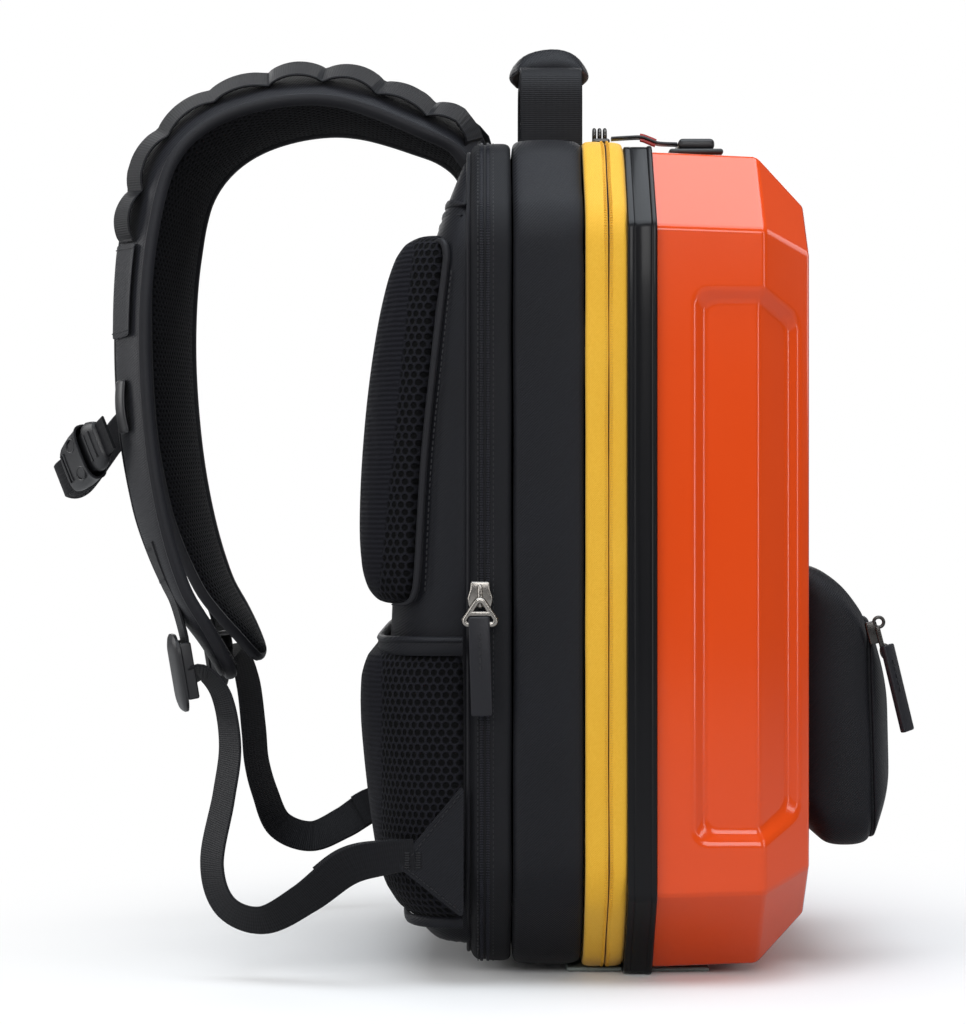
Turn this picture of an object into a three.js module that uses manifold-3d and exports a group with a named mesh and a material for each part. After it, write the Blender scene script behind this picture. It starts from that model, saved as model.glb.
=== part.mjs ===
// Laptop backpack with a hard front shell, standing on its base.
// Millimetres. +X is the hard front, -X the side that lies on the wearer's back, Y runs across the bag
// (the wearer's left is -Y) and +Z is up. The origin is on the floor, under the middle of the rim.
import * as THREE from "three";
import { mergeVertices } from "three/addons/utils/BufferGeometryUtils.js";
import Module from "manifold-3d";

const wasm = await Module();
wasm.setup();

// Driving dimensions: the bag's outline seen from the front, walls and webbing.
const HALF_WIDTH = 165;
const CORNER_CUT = 48;
const CUT_PER_INSET = 2 - Math.SQRT2;
const SHELL_WALL = 3.2;
const RIM_WALL = 4;
const CLOTH_WALL = 2.4;
const GAP = 0.3;
const WEBBING = { width: 25, thick: 1.6 };

// Corner rounding of the hard walls, the soft walls and small parts, and how far a cutting form runs
// past the face it opens.
const CRISP = { reach: 3, steps: 1 };
const SOFT = { reach: 15, steps: 2 };
const ROUND_STEPS = 3;
const PAST = 20;
const WELD = 1e-4;

// Where each part of the bag begins or ends, from the front face to the wearer's side.
const AT = {
  shellFront: 93,
  shellShoulder: 65.7,
  shellRear: 7.5,
  rimRear: -8.7,
  mainZip: -19,
  gussetRear: -32,
  bodyRear: -71,
  laptopZip: -86,
  bandRear: -95,
};

// Each wall round the bag, a row for each section: half width, bottom and top at x.
const SHELL_ROWS = [
  { x: AT.shellRear, half: 161.5, bottom: 4, top: 459 },
  { x: AT.shellShoulder, half: 160.5, bottom: 6, top: 456.5 },
  { x: AT.shellFront, half: 133.5, bottom: 33, top: 429.5 },
];
const RIM_ROWS = [
  { x: AT.rimRear, half: 164.6, bottom: 0, top: 462.6 },
  { x: AT.shellRear - GAP, half: 164.6, bottom: 0, top: 462.6 },
];
const GUSSET_FRONT_ROWS = [
  { x: AT.mainZip + 1.4, half: 163.6, bottom: 3, top: 466 },
  { x: AT.mainZip + 4, half: 164.4, bottom: 2.4, top: 466.4 },
  { x: AT.rimRear - GAP, half: 163, bottom: 2.6, top: 463.4 },
];
const GUSSET_REAR_ROWS = [
  { x: AT.gussetRear + GAP, half: 162.4, bottom: 4.4, top: 464.6 },
  { x: AT.gussetRear + 4, half: 164.4, bottom: 3, top: 466.4 },
  { x: AT.mainZip - 1.4, half: 163.6, bottom: 3.2, top: 466 },
];
// The soft body also has a belly, where its cloth sinks to the floor.
const BODY_ROWS = [
  { x: AT.bodyRear + GAP, half: 161, bottom: 8.5, top: 463.5, belly: 6 },
  { x: AT.bodyRear + 4, half: 164, bottom: 7, top: 466.4, belly: 0.5 },
  { x: AT.bodyRear + 22, half: 165, bottom: 5.4, top: 467.4, belly: 0.4 },
  { x: AT.gussetRear - 4, half: 164.4, bottom: 4, top: 466.8, belly: 4 },
  { x: AT.gussetRear - GAP, half: 162.4, bottom: 4.6, top: 464.6, belly: 4.6 },
];
const BELLY_HALF = 68;
const LAPTOP_FRONT_ROWS = [
  { x: AT.laptopZip + 1.4, half: 163, bottom: 5.6, top: 465.6 },
  { x: AT.bodyRear - 3, half: 163, bottom: 5, top: 465.6 },
  { x: AT.bodyRear - GAP, half: 161, bottom: 7.5, top: 463.5 },
];
const LAPTOP_REAR_ROWS = [
  { x: AT.bandRear, half: 159, bottom: 10, top: 459.5 },
  { x: AT.bandRear + 4, half: 162, bottom: 7, top: 464.4 },
  { x: AT.laptopZip - 1.4, half: 163, bottom: 5.8, top: 465.6 },
];
const COIL = { halfLength: 1.1, sink: 1.2, wall: 1.6 };

// Recessed panel on each side of the shell: its outline on the side face and, past the bend, on the bevel.
const RECESS = {
  depth: 4.5,
  slope: 1.5,
  above: 2,
  start: 27,
  bevelShare: 0.78,
  side: { bottom: 78, top: 379 },
  bevel: { bottom: 92, top: 365 },
};

// Soft back of the laptop compartment, a row for each height: its rear face and half width.
const BACK_FRONT = AT.bandRear - GAP;
const BACK_CORNER = { deep: 36, wide: 40 };
const CORNER_STEPS = 4;
const LEAST_SIDE = 0.5;
const BACK_ROWS = [
  { z: 13, rear: -109, half: 117 },
  { z: 22, rear: -120, half: 125 },
  { z: 36, rear: -129, half: 138 },
  { z: 58, rear: -136, half: 156 },
  { z: 130, rear: -141, half: 157 },
  { z: 200, rear: -138, half: 157 },
  { z: 300, rear: -135, half: 157 },
  { z: 370, rear: -126, half: 157 },
  { z: 408, rear: -114, half: 157 },
  { z: 432, rear: -107, half: 140 },
  { z: 452, rear: -99, half: 121 },
  { z: 459, rear: -96.6, half: 114 },
];

// Back padding, a row for each height: rear face, where the side seam lies and the outer and inner edge.
const UPPER_PAD_CORNER = { deep: 26, wide: 30 };
const UPPER_PAD_INNER = { deep: 12, wide: 12 };
const UPPER_PAD_ROWS = [
  { z: 206, rear: -141, seam: -124, outer: 147, inner: 32 },
  { z: 211, rear: -150, seam: -124, outer: 152, inner: 26 },
  { z: 226, rear: -155.5, seam: -123, outer: 154, inner: 22 },
  { z: 286, rear: -153, seam: -119, outer: 154, inner: 22 },
  { z: 345, rear: -147, seam: -113, outer: 154, inner: 22 },
  { z: 392, rear: -139, seam: -107, outer: 153, inner: 22 },
  { z: 406, rear: -133, seam: -106, outer: 151, inner: 26 },
  { z: 412, rear: -122, seam: -106, outer: 147, inner: 34 },
];
const LUMBAR_SEAM = AT.bandRear - 1.5;
const LUMBAR_CORNER = { deep: 46, wide: 34 };
const LUMBAR_ROWS = [
  { z: 31, rear: -128, half: 139 },
  { z: 36, rear: -136, half: 146 },
  { z: 50, rear: -143, half: 156.5 },
  { z: 66, rear: -146, half: 160 },
  { z: 110, rear: -150.5, half: 161 },
  { z: 160, rear: -155.5, half: 161 },
  { z: 178, rear: -154, half: 160.6 },
  { z: 192, rear: -148, half: 160 },
];

// Shoulder strap, from the top seam to its tip: outer edge, lean of the outer face and width.
const STRAP_HALF = { edge: 3.4, middle: 6.4 };
const STRAP_ROWS = [
  { x: -100, y: 74, z: 468, lean: 8, width: 54 },
  { x: -113, y: 77, z: 475, lean: 14, width: 58 },
  { x: -172, y: 84, z: 492, lean: 17, width: 62 },
  { x: -225, y: 93, z: 485, lean: 17, width: 62 },
  { x: -258, y: 103, z: 461, lean: 17, width: 62 },
  { x: -270.5, y: 113, z: 420, lean: 17, width: 62 },
  { x: -275, y: 122, z: 364.7, lean: 15, width: 62 },
  { x: -272, y: 127, z: 306, lean: 15, width: 62 },
  { x: -264, y: 130, z: 256, lean: 15, width: 62 },
  { x: -252, y: 129, z: 216, lean: 15, width: 58 },
  { x: -238, y: 124, z: 191, lean: 15, width: 48 },
  { x: -229, y: 112, z: 171, lean: 15, width: 22 },
];
const STRAP_STEPS = 24;
const SEAT = STRAP_HALF.middle + 1.2;
const DAISY = { from: 0.03, to: 0.49, loops: 8, steps: 32, width: 25, thick: 1.6, rise: 4.6 };
const SLEEVE = { from: 0.5, to: 0.6, steps: 4, width: 38, thick: 2.4 };
const HOLDER = { from: 0.84, to: 0.905, steps: 4, width: 25, thick: 1.6, rise: 3 };
const CLIP = { from: 0.65, to: 0.705, steps: 2, width: 22, thick: 4.5 };

// Free lower webbing, from the ladder lock to the wing tab: its middle line and lean. The right one
// hangs shorter, by a share of TIGHTER at each row.
const TIGHTER = { x: 9, z: 13 };
const LOWER_ROWS = [
  { x: -246, y: 111, z: 170, lean: 5, short: 0 },
  { x: -233, y: 113, z: 154, lean: 8, short: -0.5 },
  { x: -228, y: 117, z: 128, lean: 8, short: -0.7 },
  { x: -231, y: 122, z: 100, lean: 10, short: -0.2 },
  { x: -237, y: 128, z: 64, lean: 16, short: 1 },
  { x: -229, y: 135, z: 41, lean: 30, short: 1.1 },
  { x: -208, y: 141, z: 34, lean: 38, short: 1 },
  { x: -184, y: 148, z: 47, lean: 42, short: 0.6 },
  { x: -161, y: 157, z: 65, lean: 70, short: 0 },
  { x: -141, y: 164, z: 73, lean: 88, short: 0 },
  { x: -122, y: 167.5, z: 78, lean: 90, short: 0 },
];
const LOWER_STEPS = 36;
const WING = {
  thick: 2.2,
  top: { x: -97.5, y: 164, z: 111 },
  bottom: { x: -97.5, y: 164, z: 38 },
  apex: { x: -132, y: 162.6, z: 67 },
};
const LADDER = { wide: 33, thick: 6, tall: 44, x: -257, y: 106, z: 168, slant: 0.17, lean: 0.27 };
const LADDER_SLOT = { wide: 26.5, tall: 9, heights: [12, -3] };

// Chest strap: from the left clip it runs outwards through the fastened buckle to a fold, and from there
// back to the right clip. PLUG and SOCKET are measured along it from its start.
const CHEST = {
  start: new THREE.Vector3(-298, -100, 303),
  fold: new THREE.Vector3(-336, -27, 276),
  middle: new THREE.Vector3(-328, 12, 279),
  approach: new THREE.Vector3(-12, -28, -8),
  across: new THREE.Vector3(0.3, 0, -0.95),
  band: 20,
  steps: 16,
  clear: 6,
  corner: 4,
};
const PLUG = { from: 12, to: 32, wide: 29, thick: 9 };
const SOCKET = { from: 32 + GAP, to: 67, wide: 33, thick: 11.5 };

// Grab handle across the top of the soft body.
const HANDLE = { x: -47.5, width: 36, thick: 2.2, steps: 36 };
const HANDLE_ROWS = [
  { y: 58, z: 468 },
  { y: 58, z: 484 },
  { y: 57, z: 505 },
  { y: 49, z: 515 },
  { y: 29, z: 517 },
];
const GRIP = { half: 24, reach: 47, bottom: 508, top: 528, drawIn: 5, round: 8 };

// Lock on the shell's top and the pull strip that docks in it.
const LOCK_Y = -70;
const LOCK_BASE = { from: 18, to: 48.5, foot: 459.6, top: 464.6, length: 60 };
const LOCK_BODY = { from: 23.5, to: 44, foot: 464.9, top: 469.4, length: 50 };
const MAIN_PULL = { y: -82, width: 9, thick: 2, steps: 10 };
const MAIN_PULL_ROWS = [
  { x: -13, z: 470.6 },
  { x: 5, z: 471.4 },
  { x: 14, z: 467.4 },
  { x: 23.2, z: 467.2 },
];
const MAIN_SLIDER = { y: -82, long: 13, wide: 8, foot: 467, top: 470.4 };
const MAIN_LOOP = { radius: 3.6, wire: 1.1, apart: 3.4, lift: 2.6, round: 6, turn: 12 };

// Laptop zip slider, ring and leather pull on the left side.
const LAPTOP_SLIDER = { x: -87.5, z: 214, wide: 11, tall: 13, from: -163.6, to: -167.6 };
const LAPTOP_BRIDGE = { wide: 4, thick: 3, sink: 0.5 };
const LAPTOP_RING = { radius: 7, wire: 1.1, round: 6, turn: 16, y: -172.6, z: 201.6 };
const LAPTOP_PULL = { x: -88, wide: 13, tall: 54, thick: 4, top: 201, corner: 2.5 };

// Soft front pouch, a row for each depth in front of the shell.
const POUCH_CORNER = 26;
const POUCH_ROWS = [
  { x: AT.shellFront + GAP, half: 95, bottom: 81, top: 228 },
  { x: 104, half: 100, bottom: 71, top: 226 },
  { x: 116, half: 101, bottom: 67.5, top: 218 },
  { x: 130, half: 98, bottom: 71, top: 200 },
];
const LID_ROWS = [
  { x: 130.6, half: 98, bottom: 71.5, top: 199.5 },
  { x: 138, half: 93, bottom: 82, top: 180 },
  { x: 144.5, half: 78, bottom: 100, top: 156 },
];
const POUCH_SLIDER = { x: 133, y: -102, z: 189, wide: 10, thick: 4, tall: 14 };
const POUCH_PULL = { x: 144, y: -104.6, z: 159, long: 54, wide: 11, thick: 3, corner: 2.5, lean: -0.27 };

// Grey foot under the rim and the edges beside it.
const FOOT = { reach: 40, half: 105, round: 9, turn: 3, top: 2 };

const SIDES = [
  { name: "left", sign: -1 },
  { name: "right", sign: 1 },
];

const FINISH = {
  shell: { color: 0xda4c22, roughness: 0.3, metalness: 0 },
  rim: { color: 0x1b1b20, roughness: 0.3, metalness: 0 },
  gusset: { color: 0xf0be38, roughness: 0.75, metalness: 0 },
  cloth: { color: 0x242428, roughness: 0.7, metalness: 0 },
  mesh: { color: 0x131315, roughness: 0.9, metalness: 0 },
  webbing: { color: 0x1e1e21, roughness: 0.75, metalness: 0 },
  plastic: { color: 0x18181a, roughness: 0.4, metalness: 0 },
  metal: { color: 0xc8c3be, roughness: 0.25, metalness: 1 },
  leather: { color: 0x1a1a1c, roughness: 0.5, metalness: 0 },
  foot: { color: 0x646c69, roughness: 0.6, metalness: 0 },
};

const backpack = new THREE.Group();

// Adds one piece of the bag as a named mesh with a material of its own.
function addPiece(name, geometry, finish) {
  const mesh = new THREE.Mesh(geometry, new THREE.MeshStandardMaterial(finish));
  mesh.name = name;
  backpack.add(mesh);
  return mesh;
}

// Joining and cutting closed geometries.
function solidOf(geometry) {
  const plain = geometry.clone();
  plain.deleteAttribute("normal");
  plain.deleteAttribute("uv");
  const merged = mergeVertices(plain, WELD);
  const vertProperties = new Float32Array(merged.attributes.position.array);
  const triVerts = new Uint32Array(merged.index.array);
  return new wasm.Manifold(new wasm.Mesh({ numProp: 3, vertProperties, triVerts }));
}

function geometryOf(solid) {
  const { vertProperties, triVerts } = solid.getMesh();
  const geometry = new THREE.BufferGeometry();
  geometry.setAttribute("position", new THREE.BufferAttribute(new Float32Array(vertProperties), 3));
  geometry.setIndex(new THREE.BufferAttribute(new Uint32Array(triVerts), 1));
  geometry.computeVertexNormals();
  return geometry;
}

function cut(geometry, ...tools) {
  return geometryOf(tools.reduce((left, tool) => left.subtract(solidOf(tool)), solidOf(geometry)));
}

function join(geometry, ...others) {
  return geometryOf(others.reduce((sum, other) => sum.add(solidOf(other)), solidOf(geometry)));
}

// Six times the volume that the triangles enclose, negative where they face inwards.
function facing(points, index) {
  let sum = 0;
  for (let i = 0; i < index.length; i += 3) {
    const [a, b, c] = [points[index[i]], points[index[i + 1]], points[index[i + 2]]];
    sum += a.dot(b.clone().cross(c));
  }
  return sum;
}

// A closed skin through rings of points, each ring as long as the first, with a fan over both ends.
function loft(rings) {
  const count = rings[0].length;
  const points = rings.flat();
  const index = [];
  for (let a = 0; a < points.length - count; a++) {
    const b = (a + 1) % count === 0 ? a + 1 - count : a + 1;
    index.push(a, b, b + count);
    index.push(a, b + count, a + count);
  }
  for (const [ring, first] of [[rings[0], 0], [rings.at(-1), points.length - count]]) {
    const hub = points.length;
    const middle = ring.reduce((sum, p) => sum.add(p), new THREE.Vector3()).divideScalar(count);
    points.push(middle);
    for (let i = 0; i < count; i++) {
      const pair = [first + i, first + ((i + 1) % count)];
      index.push(hub, ...(first === 0 ? pair.reverse() : pair));
    }
  }
  if (facing(points, index) < 0) index.reverse();
  const geometry = new THREE.BufferGeometry().setFromPoints(points);
  geometry.setIndex(index);
  geometry.computeVertexNormals();
  return geometry;
}

// A polygon with each corner turned into a short curve.
function roundCorners(corners, reach, steps) {
  const places = corners.map(([a, b]) => new THREE.Vector2(a, b));
  const curves = places.map((corner, i) => {
    const before = places.at(i - 1);
    const after = places[(i + 1) % places.length];
    const from = corner.clone().add(before.clone().sub(corner).setLength(reach));
    const to = corner.clone().add(after.clone().sub(corner).setLength(reach));
    return new THREE.QuadraticBezierCurve(from, corner, to).getPoints(steps);
  });
  return curves.flat();
}

// The bag's outline seen from the front: a box with cut corners, drawn in by an inset.
function bagRing({ x, half, bottom, top, belly }, inset, { reach, steps }) {
  const side = half - inset;
  const low = bottom + inset;
  const high = top - inset;
  const cutBack = CORNER_CUT - CUT_PER_INSET * (HALF_WIDTH - side);
  const right = [
    ...(belly === undefined ? [] : [[BELLY_HALF, belly + inset]]),
    [side - cutBack, low],
    [side, low + cutBack],
    [side, high - cutBack],
    [side - cutBack, high],
  ];
  const left = right.map(([y, z]) => [-y, z]).reverse();
  const outline = roundCorners([...right, ...left], reach, steps);
  return outline.map((p) => new THREE.Vector3(x, p.x, p.y));
}

// A wall that runs round the bag and is open at both ends.
function wallRound(rows, wall, rounding) {
  const past = rows.map((row, i) => {
    const end = i === 0 ? -1 : i === rows.length - 1 ? 1 : 0;
    return { ...row, x: row.x + end };
  });
  const outer = loft(rows.map((row) => bagRing(row, 0, rounding)));
  const inner = loft(past.map((row) => bagRing(row, wall, rounding)));
  return cut(outer, inner);
}

// One side's recess cutter: three square sections, at its rear edge, at the bend and on the bevel.
function recessCutter(sign, floor, grow) {
  const [, shoulder, front] = SHELL_ROWS;
  const bevel = new THREE.Vector2(front.x - shoulder.x, shoulder.half - front.half);
  const length = bevel.length() * RECESS.bevelShare;
  const direction = bevel.normalize();
  const bendShift = Math.tan(Math.atan2(direction.y, direction.x) / 2);
  const levels = [-RECESS.above, floor];
  const place = (level, step, end) => {
    const inset = (level - grow) * RECESS.slope - grow;
    const half = shoulder.half - level;
    const bendX = shoulder.x - level * bendShift;
    const range = step === 2 ? RECESS.bevel : RECESS.side;
    const z = end === "top" ? range.top - inset : range.bottom + inset;
    if (step === 0) return new THREE.Vector3(RECESS.start + inset, sign * half, z);
    const travel = step === 1 ? 0 : length - inset;
    return new THREE.Vector3(bendX + direction.x * travel, sign * (half - direction.y * travel), z);
  };
  const section = (step) => [
    place(levels[0], step, "bottom"),
    place(levels[0], step, "top"),
    place(levels[1], step, "top"),
    place(levels[1], step, "bottom"),
  ];
  return loft([0, 1, 2].map(section));
}

// Hard front: a corner-cut tray with a bevelled front edge, its side panels pressed inwards.
function shellGeometry() {
  const [rear, shoulder, front] = SHELL_ROWS;
  const bevelShift = SHELL_WALL * (Math.SQRT2 - 1);
  const outer = loft(SHELL_ROWS.map((row) => bagRing(row, 0, CRISP)));
  const inner = loft([
    bagRing({ ...rear, x: rear.x - 1 }, SHELL_WALL, CRISP),
    bagRing({ ...shoulder, x: shoulder.x - bevelShift }, SHELL_WALL, CRISP),
    bagRing({ ...front, x: front.x - SHELL_WALL }, bevelShift, CRISP),
  ]);
  const dents = SIDES.map(({ sign }) => recessCutter(sign, RECESS.depth, 0));
  const bulges = SIDES.map(({ sign }) => recessCutter(sign, RECESS.depth + SHELL_WALL, SHELL_WALL));
  return cut(cut(outer, ...dents), cut(inner, ...bulges));
}

addPiece("shell", shellGeometry(), FINISH.shell);
addPiece("rim", wallRound(RIM_ROWS, RIM_WALL, CRISP), FINISH.rim);
addPiece("gusset_front", wallRound(GUSSET_FRONT_ROWS, CLOTH_WALL, SOFT), FINISH.gusset);
addPiece("gusset_rear", wallRound(GUSSET_REAR_ROWS, CLOTH_WALL, SOFT), FINISH.gusset);
addPiece("main_body", wallRound(BODY_ROWS, CLOTH_WALL, SOFT), FINISH.cloth);
addPiece("laptop_tape_front", wallRound(LAPTOP_FRONT_ROWS, CLOTH_WALL, SOFT), FINISH.cloth);
addPiece("laptop_tape_rear", wallRound(LAPTOP_REAR_ROWS, CLOTH_WALL, SOFT), FINISH.cloth);

// A zip coil lies between two tapes, a little below their edges.
function coilGeometry(x, edge) {
  const inset = { half: edge.half - COIL.sink, bottom: edge.bottom + COIL.sink, top: edge.top - COIL.sink };
  const rows = [-1, 1].map((end) => ({ ...inset, x: x + end * COIL.halfLength }));
  return wallRound(rows, COIL.wall, SOFT);
}

addPiece("main_zip_coil", coilGeometry(AT.mainZip, GUSSET_FRONT_ROWS[0]), FINISH.cloth);
addPiece("laptop_zip_coil", coilGeometry(AT.laptopZip, LAPTOP_FRONT_ROWS[0]), FINISH.cloth);

// Horizontal section of a piece that wraps the back: from one side, round a corner to the flat rear,
// round the other corner and back along the other side.
function wrapRing({ z, front, rear, from, to }, fromCorner, toCorner) {
  const points = [new THREE.Vector3(front, from, z)];
  const inwards = Math.sign(to - from);
  for (const [edge, corner, turn] of [[from, fromCorner, 1], [to, toCorner, -1]]) {
    for (let i = 0; i <= CORNER_STEPS; i++) {
      const angle = ((turn > 0 ? i : CORNER_STEPS - i) / CORNER_STEPS) * (Math.PI / 2);
      const x = rear + corner.deep * (1 - Math.sin(angle));
      const y = edge + turn * inwards * corner.wide * (1 - Math.cos(angle));
      points.push(new THREE.Vector3(x, y, z));
    }
  }
  points.push(new THREE.Vector3(front, to, z));
  return points;
}

// A corner no deeper than the section it belongs to.
function fitCorner({ deep, wide }, depth) {
  return { deep: Math.min(deep, depth - LEAST_SIDE), wide };
}

function backLoft(grow, front, ends) {
  const last = BACK_ROWS.length - 1;
  const rings = BACK_ROWS.map(({ z, rear, half }, i) => {
    const shift = i === 0 ? -ends : i === last ? ends : 0;
    const row = { z: z + shift, front, rear: rear - grow, from: -half - grow, to: half + grow };
    const corner = fitCorner(BACK_CORNER, BACK_FRONT - rear);
    return wrapRing(row, corner, corner);
  });
  return loft(rings);
}

// Soft back panel: hollow, open towards the zip band.
function backPanelGeometry() {
  return cut(backLoft(0, BACK_FRONT, 0), backLoft(-CLOTH_WALL, BACK_FRONT + PAST, -CLOTH_WALL));
}

// Padding lies on the back panel, so the panel's own form is taken out of it.
function padGeometry(rings) {
  return cut(loft(rings), backLoft(GAP, BACK_FRONT + PAST, GAP));
}

function upperPadGeometry(sign) {
  const rings = UPPER_PAD_ROWS.map((row) => {
    const place = { z: row.z, front: row.seam, rear: row.rear, from: sign * row.outer, to: sign * row.inner };
    return wrapRing(place, fitCorner(UPPER_PAD_CORNER, row.seam - row.rear), UPPER_PAD_INNER);
  });
  return padGeometry(rings);
}

function lumbarPadGeometry() {
  const rings = LUMBAR_ROWS.map(({ z, rear, half }) => {
    const place = { z, front: LUMBAR_SEAM, rear, from: -half, to: half };
    const corner = fitCorner(LUMBAR_CORNER, LUMBAR_SEAM - rear);
    return wrapRing(place, corner, corner);
  });
  return padGeometry(rings);
}

addPiece("back_panel", backPanelGeometry(), FINISH.cloth);
addPiece("lumbar_pad", lumbarPadGeometry(), FINISH.mesh);
for (const { name, sign } of SIDES) {
  addPiece(`upper_pad_${name}`, upperPadGeometry(sign), FINISH.mesh);
}

// A named column of a table, between two rows.
function valueAt(rows, column, t) {
  const place = t * (rows.length - 1);
  const first = Math.min(Math.floor(place), rows.length - 2);
  return THREE.MathUtils.lerp(rows[first][column], rows[first + 1][column], place - first);
}

// A strap's route: for a share of its length, where its middle lies and which way it faces.
// Rows give the strap's outer edge, or its middle line if fromEdge is 0.
function strapRoute(rows, sign, fromEdge) {
  const places = rows.map((row) => new THREE.Vector3(row.x, sign * row.y, row.z));
  const curve = new THREE.CatmullRomCurve3(places, false, "centripetal");
  const inward = new THREE.Vector3(0, -sign, 0);
  return (share) => {
    const t = curve.getUtoTmapping(share);
    const along = curve.getTangent(t);
    const out = new THREE.Vector3(0, 1, 0).cross(along).normalize();
    const lean = THREE.MathUtils.degToRad(valueAt(rows, "lean", t));
    const width = valueAt(rows, "width", t);
    const across = inward.clone().multiplyScalar(Math.cos(lean)).addScaledVector(out, Math.sin(lean));
    const up = out.clone().multiplyScalar(Math.cos(lean)).addScaledVector(inward, -Math.sin(lean));
    const middle = curve.getPoint(t).addScaledVector(across, fromEdge * width * 0.5);
    return { middle, across, up, width };
  };
}

// A section of a strap swept along stations; u runs across it from -1 to 1, v is up in millimetres.
function sweep(stations, section) {
  const rings = stations.map(({ middle, across, up, width }) =>
    section.map(({ u, v }) => middle.clone().addScaledVector(across, (u * width) / 2).addScaledVector(up, v)),
  );
  return loft(rings);
}

function bandSection(thick) {
  const half = thick / 2;
  return [
    { u: -1, v: -half },
    { u: 1, v: -half },
    { u: 1, v: half },
    { u: -1, v: half },
  ];
}

function padSection({ edge, middle }) {
  const across = [-1, -0.55, 0, 0.55, 1];
  const top = across.map((u) => ({ u, v: edge + (middle - edge) * (1 - u * u) }));
  const bottom = top.map(({ u, v }) => ({ u, v: -v })).reverse();
  return [...top, ...bottom];
}

function shares(count) {
  return Array.from({ length: count + 1 }, (_, i) => i / count);
}

// A flat piece on a strap's outer face, between two shares of its length, raised by lift(share of itself).
function onStrap(route, { from, to, steps, width, thick }, lift) {
  const stations = shares(steps).map((share) => {
    const station = route(THREE.MathUtils.lerp(from, to, share));
    const middle = station.middle.clone().addScaledVector(station.up, SEAT + thick / 2 + lift(share));
    return { ...station, middle, width };
  });
  return sweep(stations, bandSection(thick));
}

function addStrap({ name, sign }) {
  const route = strapRoute(STRAP_ROWS, sign, 1);
  addPiece(`strap_${name}`, sweep(shares(STRAP_STEPS).map(route), padSection(STRAP_HALF)), FINISH.cloth);

  const wave = (share) => DAISY.rise * Math.abs(Math.sin(share * DAISY.loops * Math.PI));
  const bend = (share) => HOLDER.rise * share * share;
  const flat = () => 0;
  addPiece(`daisy_webbing_${name}`, onStrap(route, DAISY, wave), FINISH.webbing);
  addPiece(`strap_sleeve_${name}`, onStrap(route, SLEEVE, flat), FINISH.cloth);
  addPiece(`sternum_clip_${name}`, onStrap(route, CLIP, flat), FINISH.plastic);
  addPiece(`lock_holder_${name}`, onStrap(route, HOLDER, bend), FINISH.webbing);

  const tight = sign > 0 ? TIGHTER : { x: 0, z: 0 };
  const freeRows = LOWER_ROWS.map((row) => {
    const [x, z] = [row.x + row.short * tight.x, row.z + row.short * tight.z];
    return { ...row, x, z, width: WEBBING.width };
  });
  const free = strapRoute(freeRows, sign, 0);
  const lower = sweep(shares(LOWER_STEPS).map(free), bandSection(WEBBING.thick));
  addPiece(`lower_webbing_${name}`, lower, FINISH.webbing);
  return route;
}

// Ladder lock: a plate with two slots for the webbing, hanging from the strap's tip.
function addLadderLock({ name, sign }) {
  const plate = new THREE.BoxGeometry(LADDER.thick, LADDER.wide, LADDER.tall);
  const slots = LADDER_SLOT.heights.map((z) => {
    const slot = new THREE.BoxGeometry(LADDER.thick + PAST, LADDER_SLOT.wide, LADDER_SLOT.tall);
    return slot.translate(0, 0, z);
  });
  const mesh = addPiece(`ladder_lock_${name}`, cut(plate, ...slots), FINISH.plastic);
  mesh.position.set(LADDER.x, sign * LADDER.y, LADDER.z);
  mesh.rotation.set(0, -LADDER.slant, -sign * LADDER.lean, "ZYX");
}

// Wing tab: a cloth triangle from the side seam to the end of the lower webbing.
function wingGeometry(sign) {
  const corners = [WING.top, WING.bottom, WING.apex];
  const face = (outer) => corners.map(({ x, y, z }) => new THREE.Vector3(x, sign * (y + outer), z));
  return loft([face(-WING.thick / 2), face(WING.thick / 2)]);
}

const routes = {};
for (const side of SIDES) {
  routes[side.name] = addStrap(side);
  addLadderLock(side);
  addPiece(`wing_tab_${side.name}`, wingGeometry(side.sign), FINISH.cloth);
}

// A box with rounded edges along one direction, from a rounded rectangle drawn out by depth.
function roundedBlock(width, height, depth, corner) {
  const [w, h] = [width / 2, height / 2];
  const corners = [[-w, -h], [w, -h], [w, h], [-w, h]];
  const shape = new THREE.Shape(roundCorners(corners, corner, ROUND_STEPS));
  return new THREE.ExtrudeGeometry(shape, { depth, bevelEnabled: false });
}

// A flat band through points, its width lying along a fixed direction.
function flatBand(places, across, width, thick, steps) {
  const curve = new THREE.CatmullRomCurve3(places, false, "centripetal");
  const stations = shares(steps).map((share) => {
    const up = curve.getTangentAt(share).cross(across).normalize();
    return { middle: curve.getPointAt(share), across, up, width };
  });
  return sweep(stations, bandSection(thick));
}

// Chest buckle, fastened: plug and socket lie in line along the strap.
function addChestStrap() {
  const along = CHEST.fold.clone().sub(CHEST.start).normalize();
  const face = along.clone().cross(CHEST.across).normalize();
  const across = face.clone().cross(along);
  const turn = new THREE.Matrix4().makeBasis(across, face, along);
  const at = (distance) => CHEST.start.clone().addScaledVector(along, distance);
  for (const [name, { from, to, wide, thick }] of [["sternum_plug", PLUG], ["sternum_socket", SOCKET]]) {
    const half = addPiece(name, roundedBlock(wide, thick, to - from, CHEST.corner), FINISH.plastic);
    half.quaternion.setFromRotationMatrix(turn);
    half.position.copy(at(from));
  }
  const clip = routes.right((CLIP.from + CLIP.to) / 2);
  const landing = clip.middle.clone().addScaledVector(clip.up, SEAT + CLIP.thick + CHEST.clear);
  const left = [at(0), at(PLUG.from - GAP)];
  const right = [
    at(SOCKET.to + GAP),
    CHEST.fold,
    CHEST.middle,
    landing.clone().add(CHEST.approach),
    landing,
  ];
  const webbing = (places) => flatBand(places, across, CHEST.band, WEBBING.thick, CHEST.steps);
  addPiece("sternum_webbing_left", webbing(left), FINISH.webbing);
  addPiece("sternum_webbing_right", webbing(right), FINISH.webbing);
}

addChestStrap();

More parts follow.
